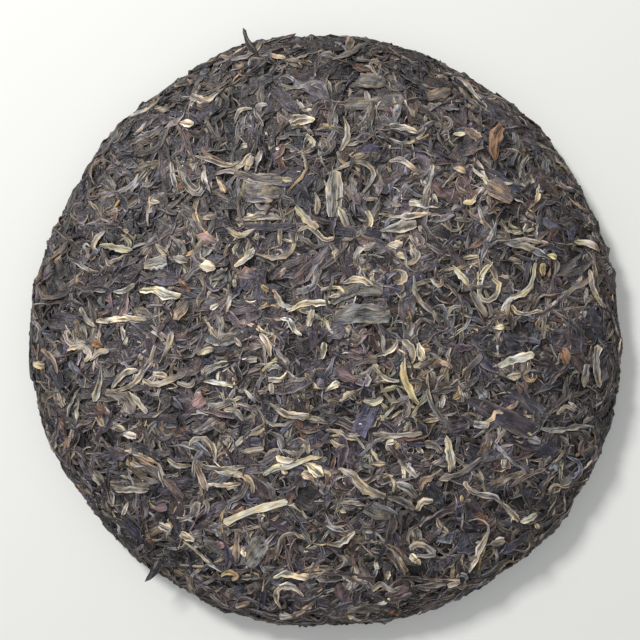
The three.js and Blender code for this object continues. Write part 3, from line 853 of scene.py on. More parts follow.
@dataclass(frozen=True)
class LeafSower:
    """Draws the leaves of the heap at random, from their kinds and one seeded source.

    The lights are the mean and the spread of lognormal draws. Further out than TURN_FROM the leaves run round
    the cake, and further out than SHADE_FROM they get darker, as do all the leaves on the rim: painted shade
    where the cake slopes away from the light, along with the darker ends that the leaves show there. The FLAT
    and ROLLED values are those of traced leaves.
    """

    sizes: CakeSizes
    random: Random

    TINT_GAIN = np.array([1.7, 1.58, 1.56])
    WARMING = np.array([1.0, 1.0, 0.97])
    LIGHT = (-0.02, 0.26)
    TIP_LIGHT = (0, 0.3)
    WARM_SPREAD, GREEN_SPREAD = 0.12, 0.03
    LENGTH_SKEW, WIDTH_SKEW = 1.5, 1.3
    BEND_SPREAD, WAVE_SPREAD, TWIST_SPREAD, LIFT_SPREAD = 0.5, 0.6, 0.6, 0.08
    REACH = {Sheet.FACE: 101.0, Sheet.UNDER: 97.0}
    RIM_BAND = (-9, 11)
    RIM_TILT = 24
    TURN_FROM, TURN_OVER, TURN_TILT = 84, 14, 30
    SHADE_FROM, SHADE_OVER, RIM_SHADE = 50, 45, 0.48
    TRACED_GAIN = 1.35
    TRACED_TIP_LIGHT = (-0.1, 0.2)
    TRACED_CURL = (-0.1, 0.25)
    BROADEST = 0.55
    THICKNESS, THINNEST, THICKEST = 0.4, 0.5, 0.9
    FLAT_TWIST, FLAT_LIFT, FLAT_ORDER = 12.0, 0.1, 0.9
    ROLLED_TWIST, ROLLED_LIFT, ROLLED_ORDER = 50.0, 0.25, 1.1

    def between(self, limits: Limits, count: int, skew: float = 1.0) -> np.ndarray:
        """Draw values between two limits, more of them small ones where skew is over 1."""
        return limits[0] + (limits[1] - limits[0]) * self.random.random(count) ** skew

    def spots(self, sheet: Sheet, count: int) -> tuple[np.ndarray, np.ndarray]:
        """Draw places and directions on a sheet.

        Args:
            sheet: where the leaves lie.
            count: how many.

        Returns:
            The places, and the headings in degrees.
        """
        random = self.random
        if sheet is Sheet.RIM:
            round_cake = np.pi * self.sizes.radius
            a = random.uniform(-round_cake, round_cake, count)
            b = random.uniform(*self.RIM_BAND, count)
            heading = random.normal(0, self.RIM_TILT, count) + 180 * random.integers(0, 2, count)
            return np.stack([a, b], axis=1), heading
        radius = self.REACH[sheet] * np.sqrt(random.random(count))
        angle = random.uniform(0, ROUND, count)
        heading = random.uniform(0, 360, count)
        outer = np.clip((radius - self.TURN_FROM) / self.TURN_OVER, 0, 1)
        round_way = np.degrees(angle) + 90 + random.normal(0, self.TURN_TILT, count)
        heading = np.where(random.random(count) < outer, round_way, heading)
        return np.stack([radius * np.cos(angle), radius * np.sin(angle)], axis=1), heading

    def shade(self, sheet: Sheet, spot: np.ndarray) -> np.ndarray:
        """Find how much light the leaves have left towards the rim and on it: painted shade where the cake
        slopes away from the light, along with the darker ends that the leaves show there.

        Args:
            sheet: where the leaves lie.
            spot: their places on it.

        Returns:
            The share of light of each.
        """
        if sheet is Sheet.RIM:
            return np.full(len(spot), 1 - self.RIM_SHADE)
        outer = (np.hypot(spot[:, 0], spot[:, 1]) - self.SHADE_FROM) / self.SHADE_OVER
        return 1 - self.RIM_SHADE * np.clip(outer, 0, 1)

    def sow(self, number: int, kind: LeafKind, sheet: Sheet) -> LeafTable:
        """Draw every leaf of one kind on one sheet.

        Args:
            number: the kind's place in the list of kinds.
            kind: the kind.
            sheet: where the leaves lie.

        Returns:
            The leaves.
        """
        count, random = kind.counts[list(Sheet).index(sheet)], self.random
        spot, heading = self.spots(sheet, count)
        tones = np.array([linear(tone) for tone in kind.palette])
        first, second = random.integers(0, len(tones), (2, count))
        # light carries the painted shade towards the rim as well as each leaf's own random tone
        light = random.lognormal(*self.LIGHT, count) * self.shade(sheet, spot)
        fade = random.lognormal(*self.TIP_LIGHT, count)
        warm, green = random.normal(0, self.WARM_SPREAD, count), random.normal(0, self.GREEN_SPREAD, count)
        hue = self.TINT_GAIN * np.exp(np.stack([0.6 * warm, green, -warm], axis=1))
        return LeafTable(
            kind=np.full(count, number),
            spot=spot,
            heading=np.radians(heading),
            length=self.between(kind.length, count, self.LENGTH_SKEW),
            width=self.between(kind.width, count, self.WIDTH_SKEW),
            thick=self.between(kind.thick, count),
            curl=self.between(kind.curl, count),
            bend=np.radians(kind.bend) * random.normal(0, self.BEND_SPREAD, count),
            wave=np.radians(kind.wave) * random.normal(0, self.WAVE_SPREAD, count),
            twist=np.radians(kind.twist) * random.normal(0, self.TWIST_SPREAD, count),
            lift=random.normal(0, self.LIFT_SPREAD, count),
            order=self.between(kind.level, count),
            tint=hue * tones[first] * light[:, None] ** self.WARMING,
            tip=hue * tones[second] * (light * fade)[:, None] ** self.WARMING,
            trace=np.full((count, LeafPath.STEPS + 1, 2), np.nan),
        )

    def traced(self) -> LeafTable:
        """Turn the leaves that have their own places into a table that lies on top of the face.

        Returns:
            The leaves.
        """
        rows = [
            (leaves, width, smooth_line(line, LeafPath.STEPS))
            for leaves in TRACED
            for width, lines in leaves.lines.items()
            for line in lines
        ]
        trace = np.array([line for _, _, line in rows])
        length = np.linalg.norm(np.diff(trace, axis=1), axis=-1).sum(axis=1)
        width = np.minimum([width for _, width, _ in rows], self.BROADEST * length)
        tint = np.array([linear(leaves.tone) for leaves, _, _ in rows]) * self.TRACED_GAIN
        flat = np.array([leaves.kind is DARK_BLADE for leaves, _, _ in rows])
        rolled = np.clip(self.THICKNESS * width, self.THINNEST, self.THICKEST)
        twist = np.radians(np.where(flat, self.FLAT_TWIST, self.ROLLED_TWIST))
        count, none = len(rows), np.zeros(len(rows))
        tip = tint * self.random.lognormal(*self.TRACED_TIP_LIGHT, count)[:, None]
        return LeafTable(
            kind=np.array([KINDS.index(leaves.kind) for leaves, _, _ in rows]),
            spot=trace.mean(axis=1),
            heading=none,
            length=length,
            width=width,
            thick=np.where(flat, self.THINNEST, rolled),
            curl=self.random.uniform(*self.TRACED_CURL, count),
            bend=none,
            wave=none,
            twist=twist * self.random.normal(0, 1, count),
            lift=np.where(flat, self.FLAT_LIFT, self.ROLLED_LIFT),
            order=np.where(flat, self.FLAT_ORDER, self.ROLLED_ORDER),
            tint=tint,
            tip=tip,
            trace=trace,
        )


# Laying the heap


def smooth_line(line: tuple[float, ...], steps: int) -> np.ndarray:
    """Run a smooth line through places.

    Args:
        line: the places, x and y in turn.
        steps: how many even steps to cut it into.

    Returns:
        The ends of the steps.
    """
    places = np.reshape(line, (-1, 2)).astype(float)
    reached = np.r_[0, np.cumsum(np.linalg.norm(np.diff(places, axis=0), axis=1))]
    slopes = np.gradient(places, reached, axis=0)
    where = np.linspace(0, reached[-1], steps + 1)
    low = np.clip(np.searchsorted(reached, where, "right") - 1, 0, len(places) - 2)
    gap = (reached[low + 1] - reached[low])[:, None]
    t = (where - reached[low])[:, None] / gap
    start = (2 * t**3 - 3 * t**2 + 1) * places[low] + (t**3 - 2 * t**2 + t) * gap * slopes[low]
    return start + (3 * t**2 - 2 * t**3) * places[low + 1] + (t**3 - t**2) * gap * slopes[low + 1]


class LeafPath:
    """The middle lines of many leaves on their sheet, by share of their length."""

    STEPS = 24

    def __init__(self, table: LeafTable) -> None:
        """Walk every leaf from end to end.

        Args:
            table: the leaves.
        """
        mid = (np.arange(self.STEPS) + 0.5) / self.STEPS
        self.heading = self.turns(table, np.linspace(0, 1, self.STEPS + 1))
        step = (table.length / self.STEPS)[:, None, None] * ahead(self.turns(table, mid))
        walk = np.concatenate([np.zeros((len(step), 1, 2)), np.cumsum(step, axis=1)], axis=1)
        middle = walk[:, self.STEPS // 2 : self.STEPS // 2 + 1]
        self.spot = table.spot[:, None, :] + walk - middle
        own = ~np.isnan(table.trace[:, 0, 0])
        self.spot[own] = table.trace[own]
        run = np.gradient(table.trace[own], axis=1)
        self.heading[own] = np.unwrap(np.arctan2(run[..., 1], run[..., 0]), axis=1)

    @staticmethod
    def turns(table: LeafTable, share: np.ndarray) -> np.ndarray:
        """Find which way each leaf runs at shares of its length."""
        swing = np.sin(ROUND * share)[None, :]
        return table.heading[:, None] + table.bend[:, None] * (share - 0.5) + table.wave[:, None] * swing

    @classmethod
    def weights(cls, share: np.ndarray, steps: int | None = None) -> np.ndarray:
        """Make the matrix that reads values between even steps at shares of the length.

        Args:
            share: where to read, from 0 to 1.
            steps: how many steps the values have, the path's own unless given.

        Returns:
            One row for each share and one column for each end of a step.
        """
        steps = steps or cls.STEPS
        place = np.clip(share, 0, 1) * steps
        low = np.minimum(place.astype(int), steps - 1)
        matrix = np.zeros((len(share), steps + 1))
        matrix[np.arange(len(share)), low] = 1 - (place - low)
        matrix[np.arange(len(share)), low + 1] = place - low
        return matrix

    def read(self, share: np.ndarray) -> tuple[np.ndarray, np.ndarray]:
        """Find the places of every leaf at shares of its length, and which way it runs there."""
        reader = self.weights(share)
        return np.einsum("sk,nkc->nsc", reader, self.spot), self.heading @ reader.T


def ahead(heading: np.ndarray) -> np.ndarray:
    """Find the direction of a heading on its sheet."""
    return np.stack([np.cos(heading), np.sin(heading)], axis=-1)


def sideways(heading: np.ndarray) -> np.ndarray:
    """Find the direction to the left of a heading on its sheet."""
    return np.stack([-np.sin(heading), np.cos(heading)], axis=-1)


class LeafBed:
    """How high the heap has grown over each small square of a sheet.

    A leaf rests between the highest and the mean height that it covers, by these two shares, and adds the
    pressed share of its thickness.
    """

    CELL = 0.45
    STATIONS = 12
    LANES = 0.8
    RIM_REACH = 24.0
    FLAT_REACH = 112.0
    HIGHEST_SHARE, MEAN_SHARE = 0.55, 0.45
    PRESSED_SHARE = 0.55
    SMOOTHING = np.array([1, 2, 3, 2, 1]) / 9

    def __init__(self, sheet: Sheet, sizes: CakeSizes) -> None:
        """Start with the bare core.

        Args:
            sheet: the sheet.
            sizes: the driving sizes of the cake.
        """
        flat = (self.FLAT_REACH, self.FLAT_REACH)
        self.reach = np.array((np.pi * sizes.radius, self.RIM_REACH) if sheet is Sheet.RIM else flat)
        self.counts = (2 * self.reach / self.CELL).astype(int) + 1
        self.height = np.zeros(self.counts)

    def cells(self, spots: np.ndarray) -> tuple[np.ndarray, np.ndarray]:
        """Find the squares that places lie in."""
        index = ((spots + self.reach) / self.CELL).astype(int)
        return index[..., 0] % self.counts[0], np.clip(index[..., 1], 0, self.counts[1] - 1)

    def lay_all(self, table: LeafTable) -> np.ndarray:
        """Lay the leaves one by one, the deepest first, each draped over those under it.

        Args:
            table: the leaves.

        Returns:
            The height under each leaf at even steps along it.
        """
        spots, turns = LeafPath(table).read(np.linspace(0, 1, self.STATIONS + 1))
        across = sideways(turns)
        base = np.zeros((len(table.kind), self.STATIONS + 1))
        for leaf in np.argsort(table.order, kind="stable"):
            base[leaf] = self.lay(spots[leaf], across[leaf], table.width[leaf] / 2, table.thick[leaf])
        return base

    def lay(self, spots: np.ndarray, across: np.ndarray, half: float, thick: float) -> np.ndarray:
        """Lay one leaf.

        Args:
            spots: its middle line.
            across: the direction across it at each of those places.
            half: half its width.
            thick: its thickness.

        Returns:
            The height under it at each place.
        """
        lanes = np.linspace(-self.LANES, self.LANES, max(3, int(2 * half / self.CELL) + 1))
        under = spots[:, None, :] + across[:, None, :] * (half * lanes)[None, :, None]
        cells = self.cells(under)
        felt = self.height[cells]
        bed = self.HIGHEST_SHARE * felt.max(axis=1) + self.MEAN_SHARE * felt.mean(axis=1)
        draped = np.convolve(np.r_[bed[0], bed[0], bed, bed[-1], bed[-1]], self.SMOOTHING, "valid")
        self.height[cells] = np.maximum(felt, (draped + self.PRESSED_SHARE * thick)[:, None])
        return draped


class LeafTemplate:
    """A closed spindle with a few sides, which every leaf of a kind is shaped from."""

    def __init__(self, kind: LeafKind) -> None:
        """Make the spindle.

        Args:
            kind: the kind of leaf, for its sides and stations.
        """
        last = kind.stations - 1
        mesh = bmesh.new()
        bmesh.ops.create_uvsphere(mesh, u_segments=kind.sides, v_segments=last, radius=1.0)
        mesh.verts.ensure_lookup_table()
        corners = np.array([vert.co for vert in mesh.verts])
        self.faces = [[vert.index for vert in face.verts] for face in mesh.faces]
        mesh.free()
        self.station = np.round(np.arccos(np.clip(corners[:, 2], -1, 1)) / np.pi * last).astype(int)
        self.share = self.station / last
        around = np.arctan2(corners[:, 1], corners[:, 0])
        self.lane = np.round(around / (ROUND / kind.sides)).astype(int) % kind.sides
        self.turn = around + np.pi / kind.sides
        self.pole = np.hypot(corners[:, 0], corners[:, 1]) < 1e-4


class LeafShaper:
    """Shapes all the leaves of one kind on one sheet at a time, each from the kind's spindle.

    The pairs are the limits of random draws. PLATE is how high the press plate lies over the skin, and GIVE
    how gradually it holds the leaves back, both in millimetres.
    """

    LEAN = (0.6, 1.6)
    TAPER = (0.5, 2.6)
    GROOVES = (0.3, 1.3)
    PLEATS = (3.8, 7.5)
    FIBRE_SEEDS = (0, 500)
    TIP_MARGIN = 0.02
    BLUNT_HALF, MOST_POINTED = 1.7, 0.7
    FULL_JAG_STEP, FULL_JAG_HALF = 1.2, 1.5
    MOST_JAG, JAG_DEPTH = 0.16, 0.25
    MOST_TORN, TORN_SHARE, TORN_FROM = 0.6, 1.2, 0.25
    MOST_KINK, TRACED_KINK, KINK_RISE = 0.12, 0.5, 0.6
    EXTRA_SPIN = 0.35
    PLATE, GIVE = 0.5, 0.45
    PALEST = (206, 197, 176)
    # The painted shade of the deeper points: how deep it takes to darken, and its darkest and lightest
    # shares.
    SHADE_DEPTH, DARKEST, LIGHTEST = 2.4, 0.3, 1.05

    def __init__(self, kind: LeafKind, template: LeafTemplate, table: LeafTable, random: Random) -> None:
        """Take the leaves in hand.

        Args:
            kind: their kind.
            template: its spindle.
            table: the leaves, with the height under each.
            random: the seeded source of every draw.
        """
        self.kind, self.template, self.table, self.random = kind, template, table, random
        self.count = len(table.kind)
        self.length, self.half = table.length[:, None], table.width[:, None] / 2
        self.spacing = self.length / (kind.stations - 1)
        self.strewn = np.isnan(table.trace[:, :1, 0])
        blunted = (template.share - 0.5) / (1 - 1.6 * kind.blunt / (kind.stations - 1)) + 0.5
        self.share = np.clip(blunted, 0, 1)
        self.full = self.outline()

    def each(self, limits: Limits, number: int = 1) -> np.ndarray:
        """Draw some values for each leaf."""
        return self.random.uniform(*limits, (self.count, number))

    def noise(self) -> np.ndarray:
        """Draw a value for each point of each leaf."""
        return self.random.normal(0, 1, (self.count, len(self.share)))

    def outline(self) -> np.ndarray:
        """Draw how full each leaf is, and keep how it sways and strays from its line.

        Returns:
            The share of the full width at each point.
        """
        kind, template, half = self.kind, self.template, self.half
        inside = np.clip(template.share, self.TIP_MARGIN, 1 - self.TIP_MARGIN)
        middle = inside[None, :] ** self.each(self.LEAN)
        slim = np.clip(self.BLUNT_HALF - half, 0, self.MOST_POINTED)
        pointed = np.where(self.strewn, 1.0, slim) * (kind.blunt < 0.9)
        taper = (1.05 - kind.blunt) * self.each(self.TAPER) ** pointed
        full = np.where(template.pole, 0, np.sin(np.pi * middle) ** taper)
        self.phase = self.random.uniform(0, ROUND, (3, self.count, 1))
        self.stray = self.random.normal(0, 1, (3, self.count, kind.stations))[:, :, template.station]
        jag = np.minimum(1, np.minimum(self.spacing / self.FULL_JAG_STEP, self.FULL_JAG_HALF / half))
        full = full * (1 + jag * np.minimum(self.MOST_JAG, self.JAG_DEPTH / half) * self.stray[0])
        return full * (1 + jag * np.minimum(kind.ragged / 2, self.JAG_DEPTH / half) * self.noise())

    def section(self) -> tuple[np.ndarray, np.ndarray, np.ndarray]:
        """Shape each leaf across its line: its grooves or pleats, its twist, its curl and its dents.

        Returns:
            How far each point lies across and over the line, and how far it stands on a ridge.
        """
        kind, template, table, full = self.kind, self.template, self.table, self.full
        turn, share, phase = template.turn[None, :], self.share[None, :], self.phase
        grooves = self.each(self.GROOVES, kind.sides) * np.where(np.arange(kind.sides) % 2, -1, 1)
        lobes = grooves[:, template.lane]
        pleats = np.cos(self.each(self.PLEATS) * np.sin(turn) + phase[0] + 3 * phase[1] * share)
        across = np.sin(turn) * (1 + kind.lobe * lobes) * full * self.half
        up = np.cos(turn) * (1 + kind.lobe * lobes) * full * table.thick[:, None] / 2
        up = up + kind.fold * pleats * np.minimum(full, 1)
        twist = table.twist[:, None]
        spin = twist * (share - 0.5) + self.EXTRA_SPIN * twist * np.sin(phase[2])
        across, up = across * np.cos(spin) - up * np.sin(spin), across * np.sin(spin) + up * np.cos(spin)
        up = up + table.curl[:, None] * self.half * (across / self.half) ** 2
        up = up + kind.crumple * self.noise() * np.where(template.pole, 0.3, 1)
        kink = np.minimum(kind.kink, self.MOST_KINK * self.spacing)
        kink = np.where(self.strewn, 1.0, self.TRACED_KINK) * kink
        ridge = 0.5 + 0.5 * (pleats if kind.fold else lobes)
        ridge = np.clip(0.7 * ridge + 0.3 * np.abs(np.sin(turn)), 0, 1)
        return across + kink * self.stray[2], up + self.KINK_RISE * kink * self.stray[1], ridge

    def pressed(self, rise: np.ndarray) -> np.ndarray:
        """Hold back what stands over the skin, as the press plate does."""
        return self.PLATE - self.GIVE * np.logaddexp(0, (self.PLATE - rise) / self.GIVE)

    def tints(self, rise: np.ndarray) -> np.ndarray:
        """Blend each leaf's colours from end to end, with painted shade that darkens it the deeper it lies.

        Args:
            rise: the height of each point over the skin.

        Returns:
            The linear colour of each point, with its alpha.
        """
        tipped = np.clip(2 * self.template.share - 0.5, 0, 1)[None, :, None]
        tint = np.ones((*rise.shape, 4))
        tint[..., :3] = self.table.tint[:, None, :] * (1 - tipped) + self.table.tip[:, None, :] * tipped
        tint[..., :3] = np.minimum(tint[..., :3], linear(self.PALEST))
        # Painted shade: the deeper a point lies under the skin, the darker it is, as in the gaps of the heap.
        shade = np.clip(self.LIGHTEST + rise / self.SHADE_DEPTH, self.DARKEST, self.LIGHTEST)
        tint[..., :3] *= shade[..., None]
        return tint

    def shape(self, sheet: Sheet, skin: CakeSkin) -> dict[str, np.ndarray]:
        """Shape the leaves and wrap them on to the cake.

        Args:
            sheet: where they lie.
            skin: the skin of the cake.

        Returns:
            The points in millimetres, and the tint, fibre and ridge values of each.
        """
        across, up, ridge = self.section()
        table, turn = self.table, self.template.turn[None, :]
        spots, heading = LeafPath(table).read(self.share)
        near_end = np.clip((np.abs(self.template.share - 0.5) - self.TORN_FROM) / self.TORN_FROM, 0, 1)
        tear = np.minimum(self.MOST_TORN, self.TORN_SHARE * self.kind.ragged * self.half)
        torn = near_end * tear * self.noise()
        spots = spots + across[..., None] * sideways(heading)
        spots = spots + torn[..., None] * ahead(heading)
        base = table.base @ LeafPath.weights(self.share, LeafBed.STATIONS).T
        rise = base + up + table.thick[:, None] / 2 + table.lift[:, None] - skin.sizes.core_depth
        rise = self.pressed(rise)
        girth = np.sin(turn) * self.half + 0.3 * np.cos(turn)
        fibre = np.broadcast_arrays(girth, self.share * self.length, self.each(self.FIBRE_SEEDS))
        return {
            "points": skin.wrap(sheet, spots, rise).reshape(-1, 3),
            "tint": self.tints(rise).reshape(-1, 4),
            "fibre": np.stack(fibre, axis=-1).reshape(-1, 3),
            "ridge": ridge.reshape(-1),
        }


class LeafHeap:
    """Lays every leaf of the cake and makes one mesh for each kind."""

    def __init__(self, skin: CakeSkin, shaders: TeaShaders) -> None:
        """Keep the skin that the leaves are wrapped on.

        Args:
            skin: the skin of the cake.
            shaders: the shared effects of the finishes.
        """
        self.skin = skin
        self.shaders = shaders
        self.random = np.random.default_rng(SEED)
        self.tables: dict[Sheet, LeafTable] = {}
        self.materials: dict[LeafFinish, bpy.types.Material] = {}

    def lay(self) -> None:
        """Draw and lay the leaves of each sheet."""
        sower = LeafSower(self.skin.sizes, self.random)
        for sheet in Sheet:
            tables = [sower.sow(number, kind, sheet) for number, kind in enumerate(KINDS)]
            if sheet is Sheet.FACE:
                tables.append(sower.traced())
            table = LeafTable.joined(tables)
            table.base = LeafBed(sheet, self.skin.sizes).lay_all(table)
            self.tables[sheet] = table

    def build(self, number: int, kind: LeafKind) -> bpy.types.Object:
        """Make the mesh of one kind, over the whole cake.

        Args:
            number: the kind's place in the list of kinds.
            kind: the kind.

        Returns:
            The new object.
        """
        template = LeafTemplate(kind)
        parts = []
        for sheet, table in self.tables.items():
            own = table.picked(table.kind == number)
            parts.append(LeafShaper(kind, template, own, self.random).shape(sheet, self.skin))
        values = {name: np.concatenate([part[name] for part in parts]) for name in parts[0]}
        values["points"][:, 2] = np.maximum(values["points"][:, 2], 0)
        if kind.finish not in self.materials:
            self.materials[kind.finish] = kind.finish.material(self.shaders)
        mesh = leaf_mesh(kind.name, template, self.materials[kind.finish], **values)
        return put_on_cake(mesh)


def leaf_mesh(
    name: str,
    template: LeafTemplate,
    material: bpy.types.Material,
    points: np.ndarray,
    tint: np.ndarray,
    fibre: np.ndarray,
    ridge: np.ndarray,
) -> bpy.types.Mesh:
    """Join many leaves that were shaped from one spindle into a single mesh.

    Args:
        name: the mesh's name.
        template: the spindle, for the faces of a leaf.
        material: the finish, which reads the tint, fibre and ridge of each point.
        points: all the points in millimetres, leaf after leaf.
        tint: the linear colour of each point, with its alpha.
        fibre: the place of each point across, along and among the leaves, in millimetres.
        ridge: how far each point stands on a ridge, from 0 to 1.

    Returns:
        The mesh, shaded smooth but for its creases.
    """
    step = len(template.share)
    copies = len(points) // step
    corners = np.concatenate([np.asarray(face) for face in template.faces])
    loops = (corners[None, :] + step * np.arange(copies)[:, None]).ravel()
    totals = np.tile([len(face) for face in template.faces], copies)
    mesh = bpy.data.meshes.new(name)
    mesh.vertices.add(len(points))
    mesh.vertices.foreach_set("co", (points * MM).ravel())
    mesh.loops.add(len(loops))
    mesh.loops.foreach_set("vertex_index", loops)
    mesh.polygons.add(len(totals))
    mesh.polygons.foreach_set("loop_start", np.r_[0, np.cumsum(totals)[:-1]])
    mesh.polygons.foreach_set("use_smooth", np.ones(len(totals), bool))
    mesh.update(calc_edges=True)
    mesh.validate()
    mesh.set_sharp_from_angle(angle=np.radians(CREASE))
    for value, form, field, values in (
        ("tint", "FLOAT_COLOR", "color", tint),
        ("fibre", "FLOAT_VECTOR", "vector", fibre),
        ("ridge", "FLOAT", "value", ridge),
    ):
        mesh.attributes.new(value, form, "POINT").data.foreach_set(field, values.ravel())
    mesh.materials.append(material)
    return mesh


def placed(name: str, data: bpy.types.ID) -> bpy.types.Object:
    """Put a mesh, lamp or camera into the scene.

    Args:
        name: the object's name.
        data: what the object shows or holds.

    Returns:
        The new object.
    """
    thing = bpy.data.objects.new(name, data)
    bpy.context.collection.objects.link(thing)
    return thing


def put_on_cake(mesh: bpy.types.Mesh) -> bpy.types.Object:
    """Put a finished mesh into the scene, in place of the cake's solid.

    Args:
        mesh: the mesh, whose name the piece gets.

    Returns:
        The new piece.
    """
    piece = placed(mesh.name, mesh)
    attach(piece, BODY)
    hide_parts(CAKE_NODE)
    return piece


@dataclass(frozen=True)
class Spur:
    """One end that stands out of the rim: the places of its root and tip and its width, in millimetres."""

    root: Place
    tip: Place
    width: float
    tone: Tone


@dataclass(frozen=True)
class RimSpurs:
    """The twig and the dark ends that stand straight out of the rim, above the ground."""

    ends: tuple[Spur, ...] = (
        Spur((-22.4, 88.5, 13.2), (-27.4, 98.4, 13.8), 3.0, (36, 33, 32)),
        Spur((-17.6, 93.2, 11.9), (-9.8, 97.3, 12.0), 1.8, (48, 38, 38)),
        # A near-black end, darker than any leaf, that stands just past the rim at the lower left.
        Spur((-50.9, -71.2, 12.8), (-59.2, -82.2, 12.4), 4.2, (20, 20, 22)),
    )
    thick: float = 1.0
    sway: float = 0.35
    relief: float = 0.24
    blunt: float = 0.35

    def build(self, material: bpy.types.Material) -> bpy.types.Object:
        """Shape each end from the spindle of a dark blade and join them.

        Args:
            material: the finish of the dark leaves, which reads the tint, fibre and ridge of each point.

        Returns:
            The new object.
        """
        random = np.random.default_rng(SEED + 2)
        template = LeafTemplate(DARK_BLADE)
        share, turn = template.share, template.turn
        full = np.where(template.pole, 0, np.sin(np.pi * np.clip(share, 0.02, 0.98)) ** self.blunt)
        ridge = 0.5 + 0.5 * np.cos(5 * np.sin(turn) + 4 * share)
        points, tint, fibre = [], [], []
        for end in self.ends:
            reach = np.subtract(end.tip, end.root)
            length = np.linalg.norm(reach)
            forwards = reach / length
            across = np.array([-forwards[1], forwards[0], 0]) / np.hypot(forwards[0], forwards[1])
            upwards = np.cross(forwards, across)
            phase = random.uniform(0, ROUND, 3)
            girth = full * (0.8 + 0.2 * np.cos(9 * share + phase[0]) - 0.12 * np.sin(3 * share))
            side = np.sin(turn) * girth * end.width / 2 + self.sway * np.sin(7 * share + phase[1])
            rise = np.cos(turn) * girth * self.thick / 2 + 0.5 * self.sway * np.sin(5 * share + phase[2])
            rise = rise + self.relief * (ridge - 0.5)
            line = np.asarray(end.root) + np.outer(length * share, forwards)
            points.append(line + np.outer(side, across) + np.outer(rise, upwards))
            tint.append(np.tile([*linear(end.tone) * LeafSower.TINT_GAIN, 1.0], (len(share), 1)))
            fibre.append(np.stack([side, length * share, np.full(len(share), 31 * phase[0])], axis=1))
        ridges = np.tile(ridge, len(self.ends))
        values = (np.vstack(points), np.vstack(tint), np.vstack(fibre), ridges)
        return put_on_cake(leaf_mesh("rim_spurs", template, material, *values))


# The core


@dataclass(frozen=True)
class PressedCore:
    """The dark pressed mass that shows in the gaps between the leaves, its near-black colour partly painted
    shade.
    """

    skin: CakeSkin
    rings: int = 90
    sectors: int = 180
    bump: float = 0.5
    # The near-black tones are the pressed leaves' own dark colour, made darker than any leaf as painted shade
    # deep in the gaps.
    dark_tone: Tone = (26, 22, 22)
    pale_tone: Tone = (60, 52, 48)
    grain: float = 700.0
    powder: float = 0.3

    def build(self, shaders: TeaShaders) -> bpy.types.Object:
        """Spin the outline, sink it under the skin and roughen it.

        Args:
            shaders: the shared effects of the finishes.

        Returns:
            The new object.
        """
        mesh = bmesh.new()
        along = np.linspace(0, self.skin.length, self.rings + 1)
        depth = np.full_like(along, -self.skin.sizes.core_depth)
        outline = self.skin.place(along, np.zeros_like(along), depth)
        outline[[0, -1], 0] = self.skin.sizes.centre_shift[0]
        outline[:, 0] -= self.skin.sizes.centre_shift[0]
        verts = [mesh.verts.new((x * MM, 0, z * MM)) for x, _, z in outline]
        line = verts + [mesh.edges.new(pair) for pair in zip(verts, verts[1:])]
        turn = {"cent": (0, 0, 0), "axis": (0, 0, 1), "angle": ROUND, "steps": self.sectors}
        bmesh.ops.spin(mesh, geom=line, use_merge=True, **turn)
        bmesh.ops.remove_doubles(mesh, verts=mesh.verts, dist=1e-7)
        bmesh.ops.recalc_face_normals(mesh, faces=mesh.faces)
        core = kept_mesh("pressed_core", mesh)
        self.roughen(core)
        core.polygons.foreach_set("use_smooth", np.ones(len(core.polygons), bool))
        core.materials.append(self.finish(shaders))
        return put_on_cake(core)

    def roughen(self, core: bpy.types.Mesh) -> None:
        """Move the points of the core to the cake's uneven rim, with small bumps.

        Args:
            core: the spun mesh, which is changed.
        """
        points = np.empty(len(core.vertices) * 3)
        core.vertices.foreach_get("co", points)
        points = points.reshape(-1, 3) / MM
        x, y, z = points.T
        sizes = self.skin.sizes
        swell = self.skin.swell(np.hypot(x, y), np.arctan2(y, x))
        inwards = self.bump * np.random.default_rng(SEED + 1).random(len(points))
        points[:, :2] = points[:, :2] * swell[:, None] + sizes.centre_shift
        points[:, 2] += np.where(z > sizes.widest_height, -inwards, inwards)
        core.vertices.foreach_set("co", (points * MM).ravel())
        core.update()

    def finish(self, shaders: TeaShaders) -> bpy.types.Material:
        """Make the dark crumbly material of the gaps, its near-black colour partly painted shade.

        Args:
            shaders: the shared effects of the finishes.

        Returns:
            The material.
        """
        material, desk, shader = new_material("pressed core")
        grain = desk.noise(desk.add("ShaderNodeTexCoord").outputs["Object"], self.grain, 4.0)
        light = desk.spread(grain, 0.35, 0.65, 0.0, 1.0)
        tone = desk.blend(light, opaque(self.dark_tone), opaque(self.pale_tone))
        dusted = {"Color": tone, "Powder": self.powder}
        desk.feed(shader, {
            "Base Color": desk.add("ShaderNodeGroup", dusted, node_tree=shaders.powder).outputs["Color"],
            "Roughness": desk.spread(grain, 0.3, 0.7, 0.65, 0.9),
            "Normal": desk.bump(grain, 0.9, 0.4),
        })
        return material


def kept_mesh(name: str, mesh: bmesh.types.BMesh) -> bpy.types.Mesh:
    """Turn a finished shape into a mesh that an object can show.

    Args:
        name: the mesh's name.
        mesh: the shape, which is freed.

    Returns:
        The mesh.
    """
    kept = bpy.data.meshes.new(name)
    mesh.to_mesh(kept)
    mesh.free()
    return kept


# Floor, light and camera


@dataclass(frozen=True)
class Lamp:
    """A soft square lamp that points at the cake. Its place and size are in metres, its power in watts."""

    name: str
    place: Place
    size: float
    power: float
    colour: Place

    def hang(self) -> None:
        """Hang the lamp."""
        lamp = bpy.data.lights.new(self.name, "AREA")
        lamp.size = self.size
        lamp.energy = self.power
        lamp.color = self.colour
        hung = placed(self.name, lamp)
        hung.location = self.place
        hung.rotation_euler = Vector(self.place).to_track_quat("Z", "Y").to_euler()


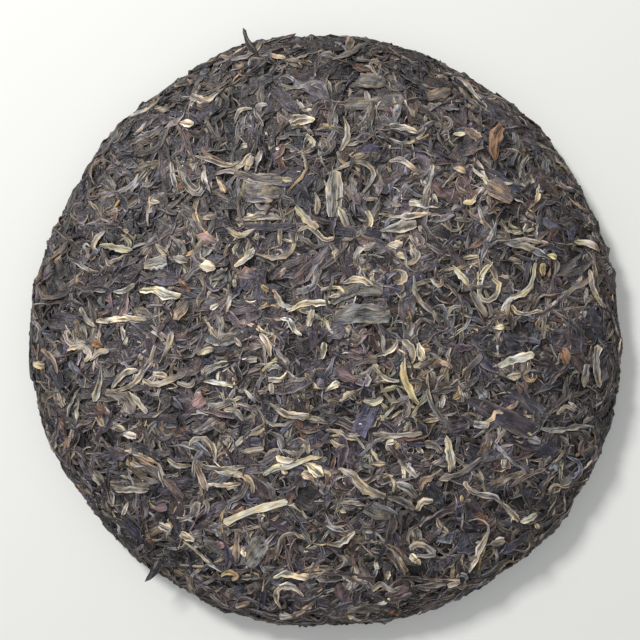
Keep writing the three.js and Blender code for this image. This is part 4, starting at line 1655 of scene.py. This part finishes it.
@dataclass(frozen=True)
class Studio:
    """The pale floor, the soft light from the upper left and the camera straight above the cake."""

    lamps: tuple[Lamp, ...] = (
        Lamp("window", (-0.52, 0.62, 0.74), 0.24, 10.9, (0.97, 0.985, 1.0)),
        Lamp("ceiling", (0.0, 0.0, 0.9), 0.3, 1.3, (0.94, 0.97, 1.0)),
    )
    air: tuple[float, ...] = (0.90, 0.94, 1.0, 1.0)
    air_strength: float = 0.47
    camera_place: Place = (-0.0020, 0.0034, 0.40)
    half_frame: float = 0.2695
    floor_size: float = 3.0
    floor_tone: Tone = (222, 220, 213)
    floor_roughness: float = 0.85

    def build(self) -> None:
        """Make the floor, the lights and the camera."""
        self.floor()
        for lamp in self.lamps:
            lamp.hang()
        world = bpy.data.worlds.new("studio air")
        world.use_nodes = True
        backdrop = world.node_tree.nodes["Background"]
        NodeDesk(world.node_tree).feed(backdrop, {"Color": self.air, "Strength": self.air_strength})
        bpy.context.scene.world = world
        bpy.context.scene.view_settings.view_transform = "Standard"
        self.camera()

    def floor(self) -> None:
        """Lay a plain pale floor under the cake."""
        mesh = bmesh.new()
        bmesh.ops.create_grid(mesh, x_segments=2, y_segments=2, size=self.floor_size)
        floor = kept_mesh("floor", mesh)
        material, desk, shader = new_material("pale floor")
        desk.feed(shader, {"Base Color": opaque(self.floor_tone), "Roughness": self.floor_roughness})
        floor.materials.append(material)
        placed("floor", floor)

    def camera(self) -> None:
        """Put the camera straight above the cake, as the photograph was taken."""
        lens = bpy.data.cameras.new("camera")
        lens.sensor_width = 36.0
        lens.lens = lens.sensor_width / 2 / self.half_frame
        lens.clip_start = 0.01
        eye = placed("camera", lens)
        eye.location = self.camera_place
        bpy.context.scene.camera = eye


def main() -> None:
    """Build the cake and its surroundings."""
    logging.basicConfig(level=logging.INFO, format="%(name)s: %(message)s")
    Studio().build()
    skin = CakeSkin(CakeSizes())
    shaders = TeaShaders()
    pieces = [PressedCore(skin).build(shaders)]
    heap = LeafHeap(skin, shaders)
    heap.lay()
    pieces += [heap.build(number, kind) for number, kind in enumerate(KINDS)]
    pieces.append(RimSpurs().build(heap.materials[DARK_FINISH]))
    for piece in pieces:
        triangles = sum(len(face.vertices) - 2 for face in piece.data.polygons)
        LOG.info("%s: %d triangles", piece.name, triangles)


if __name__ == "__main__":
    main()
